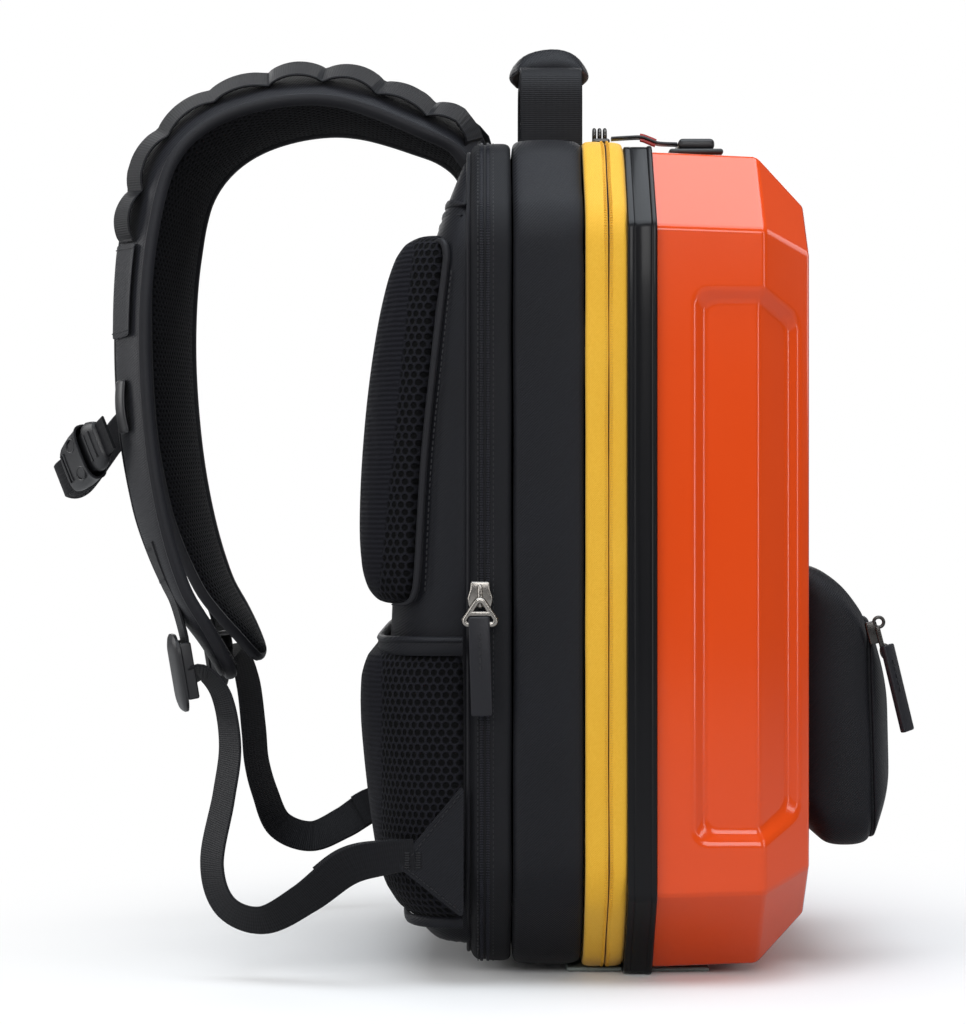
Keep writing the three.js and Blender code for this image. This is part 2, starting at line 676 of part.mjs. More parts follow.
// Grab handle: a webbing arch and the padded grip folded round it.
function handleBand(width, thick) {
  const { x, steps } = HANDLE;
  const left = HANDLE_ROWS.map(({ y, z }) => new THREE.Vector3(x, -y, z));
  const right = HANDLE_ROWS.map(({ y, z }) => new THREE.Vector3(x, y, z)).reverse();
  return flatBand([...left, ...right], new THREE.Vector3(1, 0, 0), width, thick, steps);
}

function gripGeometry() {
  const { half, reach, bottom, top, drawIn, round } = GRIP;
  const waist = [
    [HANDLE.x - half, bottom],
    [HANDLE.x + half, bottom],
    [HANDLE.x + half - drawIn, top],
    [HANDLE.x - half + drawIn, top],
  ];
  const outline = roundCorners(waist, round, ROUND_STEPS);
  const rings = [-reach, reach].map((y) => outline.map((p) => new THREE.Vector3(p.x, y, p.y)));
  return cut(loft(rings), handleBand(HANDLE.width + 2 * GAP, HANDLE.thick + 2 * GAP));
}

addPiece("handle_webbing", handleBand(HANDLE.width, HANDLE.thick), FINISH.webbing);
addPiece("handle_grip", gripGeometry(), FINISH.cloth);

// Lock on the shell's top: a base plate and a body, each a block along Y.
function lockBlock({ from, to, foot, top, length }) {
  const block = new THREE.BoxGeometry(to - from, length, top - foot);
  return block.translate((from + to) / 2, LOCK_Y, (foot + top) / 2);
}

addPiece("lock_base", lockBlock(LOCK_BASE), FINISH.plastic);
addPiece("lock_body", lockBlock(LOCK_BODY), FINISH.plastic);

// Main zip slider with two loops on its back, and the leather pull that lies across the rim to the lock.
function mainSliderGeometry() {
  const { y, long, wide, foot, top } = MAIN_SLIDER;
  const body = new THREE.BoxGeometry(wide, long, top - foot).translate(AT.mainZip, y, (foot + top) / 2);
  const loops = [-1, 1].map((end) => {
    const { radius, wire, apart, lift, round, turn } = MAIN_LOOP;
    const loop = new THREE.TorusGeometry(radius, wire, round, turn).rotateX(Math.PI / 2);
    return loop.translate(AT.mainZip, y + end * apart, top + lift);
  });
  return join(body, ...loops);
}

function mainPullGeometry() {
  const { y, width, thick, steps } = MAIN_PULL;
  const places = MAIN_PULL_ROWS.map(({ x, z }) => new THREE.Vector3(x, y, z));
  return flatBand(places, new THREE.Vector3(0, 1, 0), width, thick, steps);
}

addPiece("main_zip_slider", mainSliderGeometry(), FINISH.metal);
addPiece("main_zip_pull", mainPullGeometry(), FINISH.leather);

// Laptop zip: slider on the left side, a ring through its bridge and a flat leather pull.
function laptopSliderGeometry() {
  const { x, z, wide, tall, from, to } = LAPTOP_SLIDER;
  const body = new THREE.BoxGeometry(wide, from - to, tall).translate(x, (from + to) / 2, z);
  const bridge = new THREE.BoxGeometry(LAPTOP_BRIDGE.wide, LAPTOP_BRIDGE.thick, tall);
  bridge.translate(x, to - LAPTOP_BRIDGE.thick / 2 + LAPTOP_BRIDGE.sink, z);
  return join(body, bridge);
}

function addLaptopPull() {
  const { radius, wire, round, turn, y, z } = LAPTOP_RING;
  const { x, wide, tall, thick, top, corner } = LAPTOP_PULL;
  const ring = (grow) => {
    const torus = new THREE.TorusGeometry(radius, wire + grow, round, turn).rotateX(Math.PI / 2);
    return torus.translate(LAPTOP_SLIDER.x, y, z);
  };
  const strip = roundedBlock(wide, tall, thick, corner).rotateX(Math.PI / 2);
  strip.translate(x, y + thick / 2, top - tall / 2);
  addPiece("laptop_ring", ring(0), FINISH.metal);
  addPiece("laptop_pull", cut(strip, ring(GAP)), FINISH.leather);
}

addPiece("laptop_slider", laptopSliderGeometry(), FINISH.metal);
addLaptopPull();

// Front pouch: a soft box on the shell's front face with a zipped lid, both hollow.
function pouchRing({ x, half, bottom, top }, inset) {
  const [w, low, high] = [half - inset, bottom + inset, top - inset];
  const corners = [[-w, low], [w, low], [w, high], [-w, high]];
  const reach = Math.min(POUCH_CORNER, (high - low) / 3);
  return roundCorners(corners, reach, ROUND_STEPS).map((p) => new THREE.Vector3(x, p.x, p.y));
}

// A hollow soft box through rows, closed at one end and open at the other.
function softBox(rows, wall, closedAt) {
  const outer = loft(rows.map((row) => pouchRing(row, 0)));
  const inner = rows.map((row, i) => {
    const end = i === 0 ? -1 : i === rows.length - 1 ? 1 : 0;
    const shift = end === closedAt ? -end * wall : end;
    return pouchRing({ ...row, x: row.x + shift }, wall);
  });
  return cut(outer, loft(inner));
}

function addPouchZip() {
  const slider = POUCH_SLIDER;
  const body = new THREE.BoxGeometry(slider.wide, slider.thick, slider.tall);
  addPiece("pouch_slider", body, FINISH.metal).position.set(slider.x, slider.y, slider.z);
  const pull = POUCH_PULL;
  const block = roundedBlock(pull.wide, pull.long, pull.thick, pull.corner).rotateX(Math.PI / 2);
  const tab = addPiece("pouch_pull", block, FINISH.leather);
  tab.position.set(pull.x, pull.y, pull.z);
  tab.rotation.y = pull.lean;
}

addPiece("pouch_body", softBox(POUCH_ROWS, CLOTH_WALL, -1), FINISH.cloth);
addPiece("pouch_lid", softBox(LID_ROWS, CLOTH_WALL, 1), FINISH.cloth);
addPouchZip();

// Base foot: a low grey pad on both sides of the rim, rounded up at its outer end.
function footGeometry(from, to) {
  const { half, round, turn, top } = FOOT;
  const outline = [
    new THREE.Vector2(from, 0),
    ...new THREE.QuadraticBezierCurve(
      new THREE.Vector2(to - Math.sign(to) * round, 0),
      new THREE.Vector2(to - Math.sign(to) * turn, 0),
      new THREE.Vector2(to, top),
    ).getPoints(ROUND_STEPS),
    new THREE.Vector2(from, top),
  ];
  const rings = [-half, half].map((y) => outline.map((p) => new THREE.Vector3(p.x, y, p.y)));
  return loft(rings);
}

addPiece("foot_front", footGeometry(AT.shellRear, FOOT.reach), FINISH.foot);
addPiece("foot_rear", footGeometry(AT.rimRear - GAP, -FOOT.reach), FINISH.foot);

export default backpack;
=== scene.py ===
# %% [markdown]
# A laptop backpack with a hard orange front, built around the imported model. The imported model is
# the frame: it says where every piece is, in metres. This lesson dresses it, piece by piece.

# %% Load the frame
import math

import bmesh
import bpy
from mathutils import Matrix, Vector, noise
from mathutils.geometry import interpolate_bezier


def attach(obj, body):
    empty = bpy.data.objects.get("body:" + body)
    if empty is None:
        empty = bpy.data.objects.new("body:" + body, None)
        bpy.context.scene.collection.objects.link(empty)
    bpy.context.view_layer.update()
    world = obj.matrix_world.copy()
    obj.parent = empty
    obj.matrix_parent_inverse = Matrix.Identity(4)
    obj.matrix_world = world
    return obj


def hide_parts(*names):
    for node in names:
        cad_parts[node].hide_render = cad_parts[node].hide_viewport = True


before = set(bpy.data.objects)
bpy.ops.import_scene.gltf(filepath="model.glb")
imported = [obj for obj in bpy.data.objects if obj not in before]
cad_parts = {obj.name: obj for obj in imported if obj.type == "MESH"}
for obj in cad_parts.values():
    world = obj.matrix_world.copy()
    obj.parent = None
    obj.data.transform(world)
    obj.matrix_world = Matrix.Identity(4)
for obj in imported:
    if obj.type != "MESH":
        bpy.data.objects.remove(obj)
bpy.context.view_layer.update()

scene = bpy.context.scene
MM = 0.001
QUARTER = math.pi / 2

# %% [markdown]
# The camera stands level with the middle of the bag and looks straight at its left side. A long
# lens keeps the sides nearly parallel. Length and place were worked out from the bag's edges: the
# near side of the shell is seen a little larger than the far one.

# %% Camera
camera = bpy.data.objects.new("camera", bpy.data.cameras.new("camera"))
camera.data.lens = 96.7
camera.data.sensor_width = 36
camera.location = (-0.087, -1.650, 0.258)
camera.rotation_euler = (QUARTER, 0, 0)
scene.collection.objects.link(camera)
scene.camera = camera
print("camera lens", camera.data.lens)

# %% [markdown]
# Materials are made of nodes. One small function adds a node, sets what it is given and links
# what comes from other nodes, so that each finish below reads as a short list. Colours are
# written as the hex values of a paint chart and turned to linear light by one function.

# %% Node helpers
WAVE_PERIOD = 0.31416


def linear(code):
    """A hex colour as linear red, green, blue and alpha."""
    parts = [int(code[i:i + 2], 16) / 255 for i in (1, 3, 5)]
    return tuple(c / 12.92 if c <= 0.04045 else ((c + 0.055) / 1.055) ** 2.4 for c in parts) + (1.0,)


def add(tree, kind, inputs=None, **settings):
    """Adds a node with its settings; an input is a value or another node's output."""
    made = tree.nodes.new("ShaderNode" + kind)
    for name, value in settings.items():
        setattr(made, name, value)
    for name, value in (inputs or {}).items():
        if isinstance(value, bpy.types.NodeSocket):
            tree.links.new(value, made.inputs[name])
        else:
            made.inputs[name].default_value = value
    return made.outputs


def finish(name, **sockets):
    """A new material, its node tree and its surface shader with some sockets set."""
    made = bpy.data.materials.new(name)
    made.use_nodes = True
    shader = made.node_tree.nodes["Principled BSDF"]
    for socket, value in sockets.items():
        shader.inputs[socket.replace("_", " ")].default_value = value
    return made, made.node_tree, shader


def plug(tree, shader, **sources):
    """Links outputs to sockets of the surface shader."""
    for socket, source in sources.items():
        tree.links.new(source, shader.inputs[socket.replace("_", " ")])


print("node helpers ready, wave period", WAVE_PERIOD)

# %% [markdown]
# The stage is a pale floor that fades to plain white away from the bag, as on a studio sweep. The
# world is white to the camera and dim to everything else, so that it doesn't wash out the blacks.

# %% Floor and world
FLOOR_DROP = 0.4 * MM
scene.view_settings.view_transform = "Standard"

white_world = bpy.data.worlds.new("white_studio")
white_world.use_nodes = True
tree = white_world.node_tree
tree.nodes.clear()
seen = add(tree, "LightPath")["Is Camera Ray"]
dim = add(tree, "Background", {"Color": (0.92, 0.95, 1.0, 1), "Strength": 0.12})["Background"]
plain = add(tree, "Background", {"Color": (1, 1, 1, 1), "Strength": 1.0})["Background"]
both = add(tree, "MixShader", {0: seen, 1: dim, 2: plain})["Shader"]
add(tree, "OutputWorld", {"Surface": both})
scene.world = white_world

bm = bmesh.new()
bmesh.ops.create_circle(bm, cap_ends=True, segments=96, radius=6)
bmesh.ops.translate(bm, verts=bm.verts, vec=(0, 0, -FLOOR_DROP))
floor_mesh = bpy.data.meshes.new("floor")
bm.to_mesh(floor_mesh)
bm.free()
floor = bpy.data.objects.new("floor", floor_mesh)
scene.collection.objects.link(floor)

floor_paint, tree, shader = finish("white_sweep", Roughness=0.8)
place = add(tree, "TexCoord")["Object"]
reach = add(tree, "VectorMath", {0: place}, operation="LENGTH")["Value"]
fade = add(tree, "MapRange", {"Value": reach, "From Min": 0.1, "From Max": 0.5},
           interpolation_type="SMOOTHSTEP")["Result"]
glow = add(tree, "Emission", {"Color": (1, 1, 1, 1), "Strength": 1.0})["Emission"]
seen = add(tree, "LightPath")["Is Camera Ray"]
fade = add(tree, "Math", {0: fade, 1: seen}, operation="MULTIPLY")["Value"]
paint = add(tree, "Mix", {"Factor": seen, 6: (0.5, 0.5, 0.5, 1), 7: (0.9, 0.9, 0.9, 1)}, data_type="RGBA")[2]
plug(tree, shader, Base_Color=paint)
sweep_shader = add(tree, "MixShader", {0: fade, 1: shader.outputs["BSDF"], 2: glow})["Shader"]
tree.links.new(sweep_shader, tree.nodes["Material Output"].inputs["Surface"])
floor_mesh.materials.append(floor_paint)
print("floor", len(floor_mesh.vertices), "corners")

# %% [markdown]
# Seven soft lights stand round the bag. A large one overhead gives the pale tops, two tall ones at
# the sides and a weak one in front fill the side that faces the camera, and three light the back.
# Values that belong together are kept in a table from here on: one line of column names, then a
# row for each light, section or knot.

# %% Lights
def table(columns, *rows):
    """Rows of values as dictionaries; a short row leaves out the last columns."""
    return [dict(zip(columns.split(), row)) for row in rows]


LIGHTS = table(
    "name at size watts",
    ("overhead", (0.0, -0.35, 1.75), (2.0, 1.4), 33),
    ("left_tall", (-1.7, -1.35, 0.75), (0.8, 1.6), 12),
    ("right_tall", (1.5, -1.5, 0.75), (0.2, 1.9), 6.5),
    ("front", (0.1, -2.6, 1.3), (1.6, 1.0), 24),
    ("behind", (-0.2, 2.0, 1.1), (1.8, 1.2), 14),
    ("rear_side", (-2.2, 0.7, 0.9), (1.2, 1.2), 14),
    ("front_side", (2.3, 0.9, 1.0), (1.2, 1.2), 9),
)
AIM = Vector((-0.08, 0, 0.24))
COOL, WHITE = (0.88, 0.94, 1.0), (1, 1, 1)
for row in LIGHTS:
    lamp = bpy.data.lights.new(row["name"], "AREA")
    lamp.shape = "RECTANGLE"
    lamp.size, lamp.size_y = row["size"]
    lamp.energy = row["watts"]
    lamp.color = COOL if row["name"] == "overhead" else WHITE
    light = bpy.data.objects.new(row["name"], lamp)
    light.location = row["at"]
    light.rotation_euler = (AIM - light.location).to_track_quat("-Z", "Y").to_euler()
    scene.collection.objects.link(light)
print("lights", [row["name"] for row in LIGHTS])

# %% [markdown]
# The hard front is a vacuum-formed sheet of ABS with a satin gloss. Sheet that is formed over a
# tool has no grain, only a faint unevenness in its shine, so most of the look comes from the light
# on its flat facets.

# %% Orange ABS
orange_abs, tree, shader = finish("formed_abs_orange", IOR=1.5, Specular_IOR_Level=0.4, Coat_Weight=0.32,
                                  Coat_Roughness=0.1)
place = add(tree, "TexCoord")["Object"]
drift = add(tree, "TexNoise", {"Vector": place, "Scale": 1 / (90 * MM), "Detail": 3})["Fac"]
tone = add(tree, "Mix", {"Factor": drift, 6: linear("#DA4408"), 7: linear("#E04A0C")}, data_type="RGBA")[2]
shine = add(tree, "MapRange", {"Value": drift, "To Min": 0.15, "To Max": 0.2})["Result"]
peel = add(tree, "TexNoise", {"Vector": place, "Scale": 1 / (4 * MM), "Detail": 2})["Fac"]
bump = add(tree, "Bump", {"Height": peel, "Strength": 0.02, "Distance": 0.5 * MM})["Normal"]
plug(tree, shader, Base_Color=tone, Roughness=shine, Normal=bump)
print("hard front", orange_abs.name)

# %% [markdown]
# Many finishes differ only in the size of their grain and in what it changes: the tone, the gloss or
# the relief. One function makes them. The rim is an extruded PVC profile, with fine lines along it,
# darker and shinier than the acetal of the buckles, which come from a spark-eroded tool and so are
# matt. Grey rubber looks dusty, thread a little fibrous, and the painted red reflection under the
# leather pull blotchy. Plated zinc keeps the faint haze of a tumbled casting.

# %% Speckled finishes
def speckled(name, grain, tones=None, gloss=None, relief=None, detail=2, stretch=None, **sockets):
    """A finish whose tone, gloss or relief follows one noise with a grain of so many millimetres."""
    made, tree, shader = finish(name, **sockets)
    place = add(tree, "TexCoord")["Object"]
    if stretch:
        place = add(tree, "Mapping", {"Vector": place, "Scale": stretch})["Vector"]
    specks = add(tree, "TexNoise", {"Vector": place, "Scale": 1 / (grain * MM), "Detail": detail})["Fac"]
    if tones:
        pair = {6: linear(tones[0]), 7: linear(tones[1])}
        tone = add(tree, "Mix", {"Factor": specks, **pair}, data_type="RGBA")[2]
        plug(tree, shader, Base_Color=tone)
    if gloss:
        shine = add(tree, "MapRange", {"Value": specks, "To Min": gloss[0], "To Max": gloss[1]})["Result"]
        plug(tree, shader, Roughness=shine)
    if relief:
        bump = add(tree, "Bump", {"Height": specks, "Strength": relief[0], "Distance": relief[1] * MM})
        plug(tree, shader, Normal=bump["Normal"])
    return made


# PVC pulled through a die: a deep black with fine bright lines along its length.
rim_pvc = speckled("extruded_pvc_black", 0.8, gloss=(0.24, 0.4), relief=(0.12, 0.4), stretch=(1, 0.01, 0.01),
                   Base_Color=linear("#060609"), IOR=1.53, Specular_IOR_Level=0.2, Coat_Weight=0.1,
                   Coat_Roughness=0.1)
# Acetal from a spark-eroded tool: an even, matt black.
acetal = speckled("moulded_acetal_black", 0.6, gloss=(0.34, 0.46), relief=(0.1, 0.3),
                  Base_Color=linear("#17171A"), IOR=1.48)
# Rubber that is never quite clean: pale grey, without shine.
rubber = speckled("moulded_rubber_grey", 2, tones=("#747C78", "#8B938F"), detail=3, IOR=1.5, Roughness=0.65)
# Twisted thread: fibrous, so that a stitch isn't one flat black.
thread = speckled("sewing_thread_black", 0.4, tones=("#0C0C0F", "#1E1E23"), IOR=1.45, Roughness=0.5)
# A dark red strip under the leather pull: painted reflection of the orange shell, in blotches of two reds.
pull_reflection = speckled("painted_reflection_red", 3, tones=("#7E1A18", "#A32A22"), IOR=1.5, Roughness=0.4)
# Tumbled and plated zinc: bright nickel on the laptop zip, dark gunmetal on the others.
nickel = speckled("nickel_plate", 3, gloss=(0.18, 0.32), detail=3, Base_Color=linear("#A29D97"),
                  Metallic=1.0)
gunmetal = speckled("gunmetal_plate", 3, gloss=(0.2, 0.34), detail=3, Base_Color=linear("#4C4A48"),
                    Metallic=1.0)
print("speckled", [m.name for m in (rim_pvc, acetal, rubber, thread, pull_reflection, nickel, gunmetal)])

# %% [markdown]
# Most of the bag is a coated polyester twill: black, with fine slanted ribs that catch a dull
# light. A real rib is about half a millimetre wide, which is less than a pixel here, so the ribs
# are drawn at one millimetre to show at all. The yellow tape is a plain woven one with a softer
# surface, and the nylon of the zip coils is the same weave pressed flat.

# %% Twill and tape
RIB_SLANT = (0.7, 0.15, -0.7)
FUZZ, WORN = 1.3 * MM, 50 * MM


def cloth(name, dark, light, rib, strength, roughness, sheen):
    """A woven cloth with slanted ribs of some millimetres, in two close tones."""
    made, tree, shader = finish(name, IOR=1.45, Specular_IOR_Level=0.24, Sheen_Weight=sheen,
                                Sheen_Roughness=0.5)
    place = add(tree, "TexCoord")["Object"]
    slant = add(tree, "VectorMath", {0: place, 1: RIB_SLANT}, operation="DOT_PRODUCT")["Value"]
    ribs = add(tree, "TexWave", {"Vector": slant, "Scale": WAVE_PERIOD / (rib * MM)},
               bands_direction="X")["Fac"]
    fuzz = add(tree, "TexNoise", {"Vector": place, "Scale": 1 / FUZZ, "Detail": 3})["Fac"]
    worn = add(tree, "TexNoise", {"Vector": place, "Scale": 1 / WORN, "Detail": 3})["Fac"]
    height = add(tree, "Math", {0: ribs, 1: fuzz}, operation="ADD")["Value"]
    share = add(tree, "Math", {0: worn, 1: fuzz}, operation="MULTIPLY")["Value"]
    share = add(tree, "Math", {0: ribs, 1: 0.3, 2: share}, operation="MULTIPLY_ADD")["Value"]
    tone = add(tree, "Mix", {"Factor": share, 6: linear(dark), 7: linear(light)}, data_type="RGBA")[2]
    spread = {"To Min": roughness - 0.06, "To Max": roughness + 0.06}
    gloss = add(tree, "MapRange", {"Value": worn, **spread})["Result"]
    bump = add(tree, "Bump", {"Height": height, "Strength": strength, "Distance": 0.3 * MM})["Normal"]
    plug(tree, shader, Base_Color=tone, Roughness=gloss, Normal=bump)
    return made


# Coated twill: nearly black, with fine ribs that catch a dull light.
twill = cloth("coated_twill_black", "#09090C", "#191A21", 1.1, 0.45, 0.5, 0.02)
# The straps' twill has a thinner coat and looks a little lighter.
strap_cloth = cloth("strap_twill_black", "#0C0C10", "#1E1F26", 1.1, 0.4, 0.48, 0.03)
# Zip tape has no coat: the darkest and dullest of the cloths.
zip_tape = cloth("zip_tape_black", "#08080B", "#15161B", 0.9, 0.35, 0.6, 0.02)
# Nylon coil is smooth: each rib has a small highlight of its own.
black_coil = cloth("nylon_coil_black", "#17171C", "#30313A", 0.9, 0.1, 0.36, 0.02)
# The yellow tape is soft and a little furry, and glows at its turned edges.
yellow_tape = cloth("woven_tape_yellow", "#D9A01E", "#EDBC42", 0.9, 0.3, 0.6, 0.15)
# Its coil is dyed with it, and is a shade darker and smoother.
yellow_coil = cloth("nylon_coil_yellow", "#CB9724", "#E3B140", 0.9, 0.2, 0.5, 0.05)
# Binding tape is tightly woven and shows a line of light along its roll.
binding_cloth = cloth("binding_tape_black", "#0E0E11", "#222227", 0.8, 0.2, 0.48, 0.03)
print("cloths", [m.name for m in (twill, strap_cloth, zip_tape, yellow_tape, binding_cloth)])

# %% [markdown]
# Air mesh is a knitted spacer cloth: rows of round holes, each row shifted by half a hole, over a
# dark foam. The holes are painted near-black: the dark foam with painted shade in each hole. The
# holes follow the cloth, not the room, so the pads carry their own coordinates in an attribute called
# flow: how far across the cloth a point lies, and how far along. Two square grids of dots, shifted
# against each other, give the honeycomb. The rear part of each pad is knitted in ribs instead, with
# painted shade in the grooves between them, and the border between the two leans a little on the
# upper pads.

# %% Air mesh
KNIT_RIB = 2.7 * MM


def air_mesh(name, pitch, hole, thread, shade, ribbed=None, slope=0.0):
    """Knitted mesh with a honeycomb of holes; behind ribbed on X, which leans by slope, it has ribs."""
    made, tree, shader = finish(name, IOR=1.45, Roughness=0.75, Specular_IOR_Level=0.1, Sheen_Weight=0.02,
                                Sheen_Roughness=0.4)
    flow = add(tree, "Attribute", attribute_name="flow")["Vector"]
    cell = (1.0, math.sqrt(3), 1.0)
    per_cell = tuple(1 / (pitch * MM * c) for c in cell)
    steps = add(tree, "VectorMath", {0: flow, 1: per_cell}, operation="MULTIPLY")["Vector"]
    dots = []
    for shift in (0.0, 0.5):
        moved = add(tree, "VectorMath", {0: steps, 1: (shift, shift, 0)}, operation="ADD")["Vector"]
        inside = add(tree, "VectorMath", {0: moved}, operation="FRACTION")["Vector"]
        centred = add(tree, "VectorMath", {0: inside, 1: (0.5, 0.5, 0)}, operation="SUBTRACT")["Vector"]
        flat = add(tree, "VectorMath", {0: centred, 1: (cell[0], cell[1], 0)}, operation="MULTIPLY")["Vector"]
        dots.append(add(tree, "VectorMath", {0: flat}, operation="LENGTH")["Value"])
    near = add(tree, "Math", {0: dots[0], 1: dots[1]}, operation="MINIMUM")["Value"]
    rim = add(tree, "MapRange", {"Value": near, "From Min": hole - 0.1, "From Max": hole + 0.08},
              interpolation_type="SMOOTHSTEP")["Result"]
    knit = add(tree, "TexNoise", {"Vector": flow, "Scale": 1 / (0.7 * MM), "Detail": 2})["Fac"]
    if ribbed is not None:
        lines = add(tree, "TexWave", {"Vector": flow, "Scale": WAVE_PERIOD / KNIT_RIB},
                    bands_direction="Y")["Fac"]
        lines = add(tree, "MapRange", {"Value": lines, "To Min": 0.68, "To Max": 1.0})["Result"]
        place = add(tree, "TexCoord")["Object"]
        along = add(tree, "VectorMath", {0: place, 1: (1, 0, -slope)}, operation="DOT_PRODUCT")["Value"]
        border = {"From Min": (ribbed - 1) * MM, "From Max": (ribbed + 1) * MM}
        zone = add(tree, "MapRange", {"Value": along, **border})["Result"]
        rim = add(tree, "Mix", {"Factor": zone, 2: lines, 3: rim}, data_type="FLOAT")[0]
    yarn = add(tree, "Mix", {"Factor": knit, 6: linear(shade), 7: linear(thread)}, data_type="RGBA")[2]
    # Painted shade: the holes and the grooves between ribs are mixed towards near-black, over the dark foam.
    tone = add(tree, "Mix", {"Factor": rim, 6: linear("#040405"), 7: yarn}, data_type="RGBA")[2]
    height = add(tree, "Math", {0: knit, 1: 0.25, 2: rim}, operation="MULTIPLY_ADD")["Value"]
    bump = add(tree, "Bump", {"Height": height, "Strength": 1.0, "Distance": 1.6 * MM})["Normal"]
    plug(tree, shader, Base_Color=tone, Normal=bump)
    return made


# The lumbar pad: round holes over dark foam with painted shade in them, and ribs at the back.
pad_mesh = air_mesh("air_mesh_black", 4.7, 0.36, "#222228", "#101014", -142)
# The upper pads: the same knit, with more of it ribbed.
upper_mesh = air_mesh("ribbed_air_mesh_black", 4.8, 0.36, "#222228", "#101014", -165, 0.1)
# The straps' lining: a finer knit, whose small holes, dark foam with painted shade in them, make a dark, even
# grain.
strap_mesh = air_mesh("strap_mesh_black", 3.2, 0.28, "#1C1C20", "#0E0E11")
print("meshes", [m.name for m in (pad_mesh, upper_mesh, strap_mesh)])

# %% [markdown]
# Webbing is woven nylon band. Its weft lies across the band in fine ribs, and the warp makes a
# slight herringbone along it, so this finish too reads the flow attribute. The leather of the pulls
# is smooth, and only its pores show, as small cells in its gloss.

# %% Webbing and leather
webbing, tree, shader = finish("woven_nylon_webbing", IOR=1.45, Roughness=0.5, Specular_IOR_Level=0.2,
                               Sheen_Weight=0.03, Sheen_Roughness=0.35)
flow = add(tree, "Attribute", attribute_name="flow")["Vector"]
weft = add(tree, "TexWave", {"Vector": flow, "Scale": WAVE_PERIOD / (1.2 * MM), "Distortion": 0.4},
           bands_direction="Y")["Fac"]
warp = add(tree, "TexWave", {"Vector": flow, "Scale": WAVE_PERIOD / (3.2 * MM)}, bands_direction="X")["Fac"]
weave = add(tree, "Math", {0: warp, 1: 0.35, 2: weft}, operation="MULTIPLY_ADD")["Value"]
tone = add(tree, "Mix", {"Factor": weave, 6: linear("#0B0B0D"), 7: linear("#16161A")}, data_type="RGBA")[2]
bump = add(tree, "Bump", {"Height": weave, "Strength": 0.32, "Distance": 0.4 * MM})["Normal"]
plug(tree, shader, Base_Color=tone, Normal=bump)

leather, tree, shader = finish("smooth_leather_black", Base_Color=linear("#18181D"), IOR=1.5,
                               Specular_IOR_Level=0.35)
place = add(tree, "TexCoord")["Object"]
grain = add(tree, "TexVoronoi", {"Vector": place, "Scale": 1 / (0.9 * MM)}, feature="SMOOTH_F1")["Distance"]
shine = add(tree, "MapRange", {"Value": grain, "To Min": 0.36, "To Max": 0.52})["Result"]
bump = add(tree, "Bump", {"Height": grain, "Strength": 0.25, "Distance": 0.3 * MM})["Normal"]
plug(tree, shader, Roughness=shine, Normal=bump)
print("finishes", len(bpy.data.materials))

# %% [markdown]
# Every piece is drawn in millimetres with mesh operators and ends in the same way: doubles are
# merged, faces turned outwards, the mesh brought to metres, and the object tied to the frame. That
# is one function. Others extrude a closed edge loop from place to place, bevel, and cut long edges.

# %% Piece helpers
def piece_of(bm, name, material, nodes=(), levels=0, sharp=40.0):
    """Makes an object of a millimetre mesh, and says which nodes of the frame it stands for."""
    bmesh.ops.remove_doubles(bm, verts=bm.verts, dist=0.005)
    bmesh.ops.recalc_face_normals(bm, faces=bm.faces)
    bmesh.ops.scale(bm, vec=(MM, MM, MM), verts=bm.verts)
    mesh = bpy.data.meshes.new(name)
    bm.to_mesh(mesh)
    bm.free()
    mesh.shade_smooth()
    mesh.set_sharp_from_angle(angle=math.radians(sharp))
    mesh.materials.append(material)
    piece = bpy.data.objects.new(name, mesh)
    scene.collection.objects.link(piece)
    if levels:
        rounding = piece.modifiers.new("rounding", "SUBSURF")
        rounding.levels = rounding.render_levels = levels
    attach(piece, "root")
    if nodes:
        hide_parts(*nodes)
    print(name, len(mesh.polygons), "faces")
    return piece


def verts_in(made):
    return [part for part in made["geom"] if isinstance(part, bmesh.types.BMVert)]


def next_loop(bm, loop, matrix):
    """Extrudes an edge loop, moves the new one by a matrix and returns its edges."""
    verts = verts_in(bmesh.ops.extrude_edge_only(bm, edges=loop))
    bmesh.ops.transform(bm, matrix=matrix, verts=verts)
    fresh = set(verts)
    return list({edge for v in verts for edge in v.link_edges if edge.other_vert(v) in fresh})


def carry(bm, loop, places):
    """Stands a loop at the first place, extrudes it from place to place and returns the last loop."""
    bmesh.ops.transform(bm, matrix=places[0], verts=bm.verts)
    for before, after in zip(places, places[1:]):
        loop = next_loop(bm, loop, after @ before.inverted())
    return loop


def soften(bm, geom, reach, segments, affect="EDGES", clamp=False):
    """A round bevel on edges, or on the corners of a flat face."""
    bmesh.ops.bevel(bm, geom=geom, offset=reach, segments=segments, profile=0.5, affect=affect, material=-1,
                    clamp_overlap=clamp)


def rounded_face(bm, points, corner, segments):
    """A flat face through a few points, with rounded corners."""
    bm.faces.new([bm.verts.new(point) for point in points])
    soften(bm, bm.verts[:], corner, segments, "VERTICES")


def split_long(bm, edges, step):
    """Divides each edge so that no part is longer than step."""
    for edge in list(edges):
        cuts = int(edge.calc_length() / step)
        if cuts:
            bmesh.ops.subdivide_edges(bm, edges=[edge], cuts=cuts)


def ruffle(bm, amount, size, shift=0.0):
    """Moves each point along its normal by a soft noise, for cloth that isn't quite flat."""
    bm.normal_update()
    for v in bm.verts:
        v.co += v.normal * amount * noise.noise(v.co / size + Vector((shift, shift, shift)))


def frame_at(across, up, along, middle=(0, 0, 0)):
    """A matrix that stands its three axes at a point."""
    turn = Matrix((across, up, along)).transposed().to_4x4()
    return Matrix.Translation(middle) @ turn


print("piece helpers ready")

# %% [markdown]
# Seen from the front, the bag is a box with its corners cut off. The shell is three such outlines
# bridged together and capped. Its side panel is marked out with straight cuts, then pressed in with
# one inset, so that the panel wraps round the bend to the bevel. The corners of the recess are
# rounded first, then a bevel softens every edge, and a wall is given to the open tray at the end.

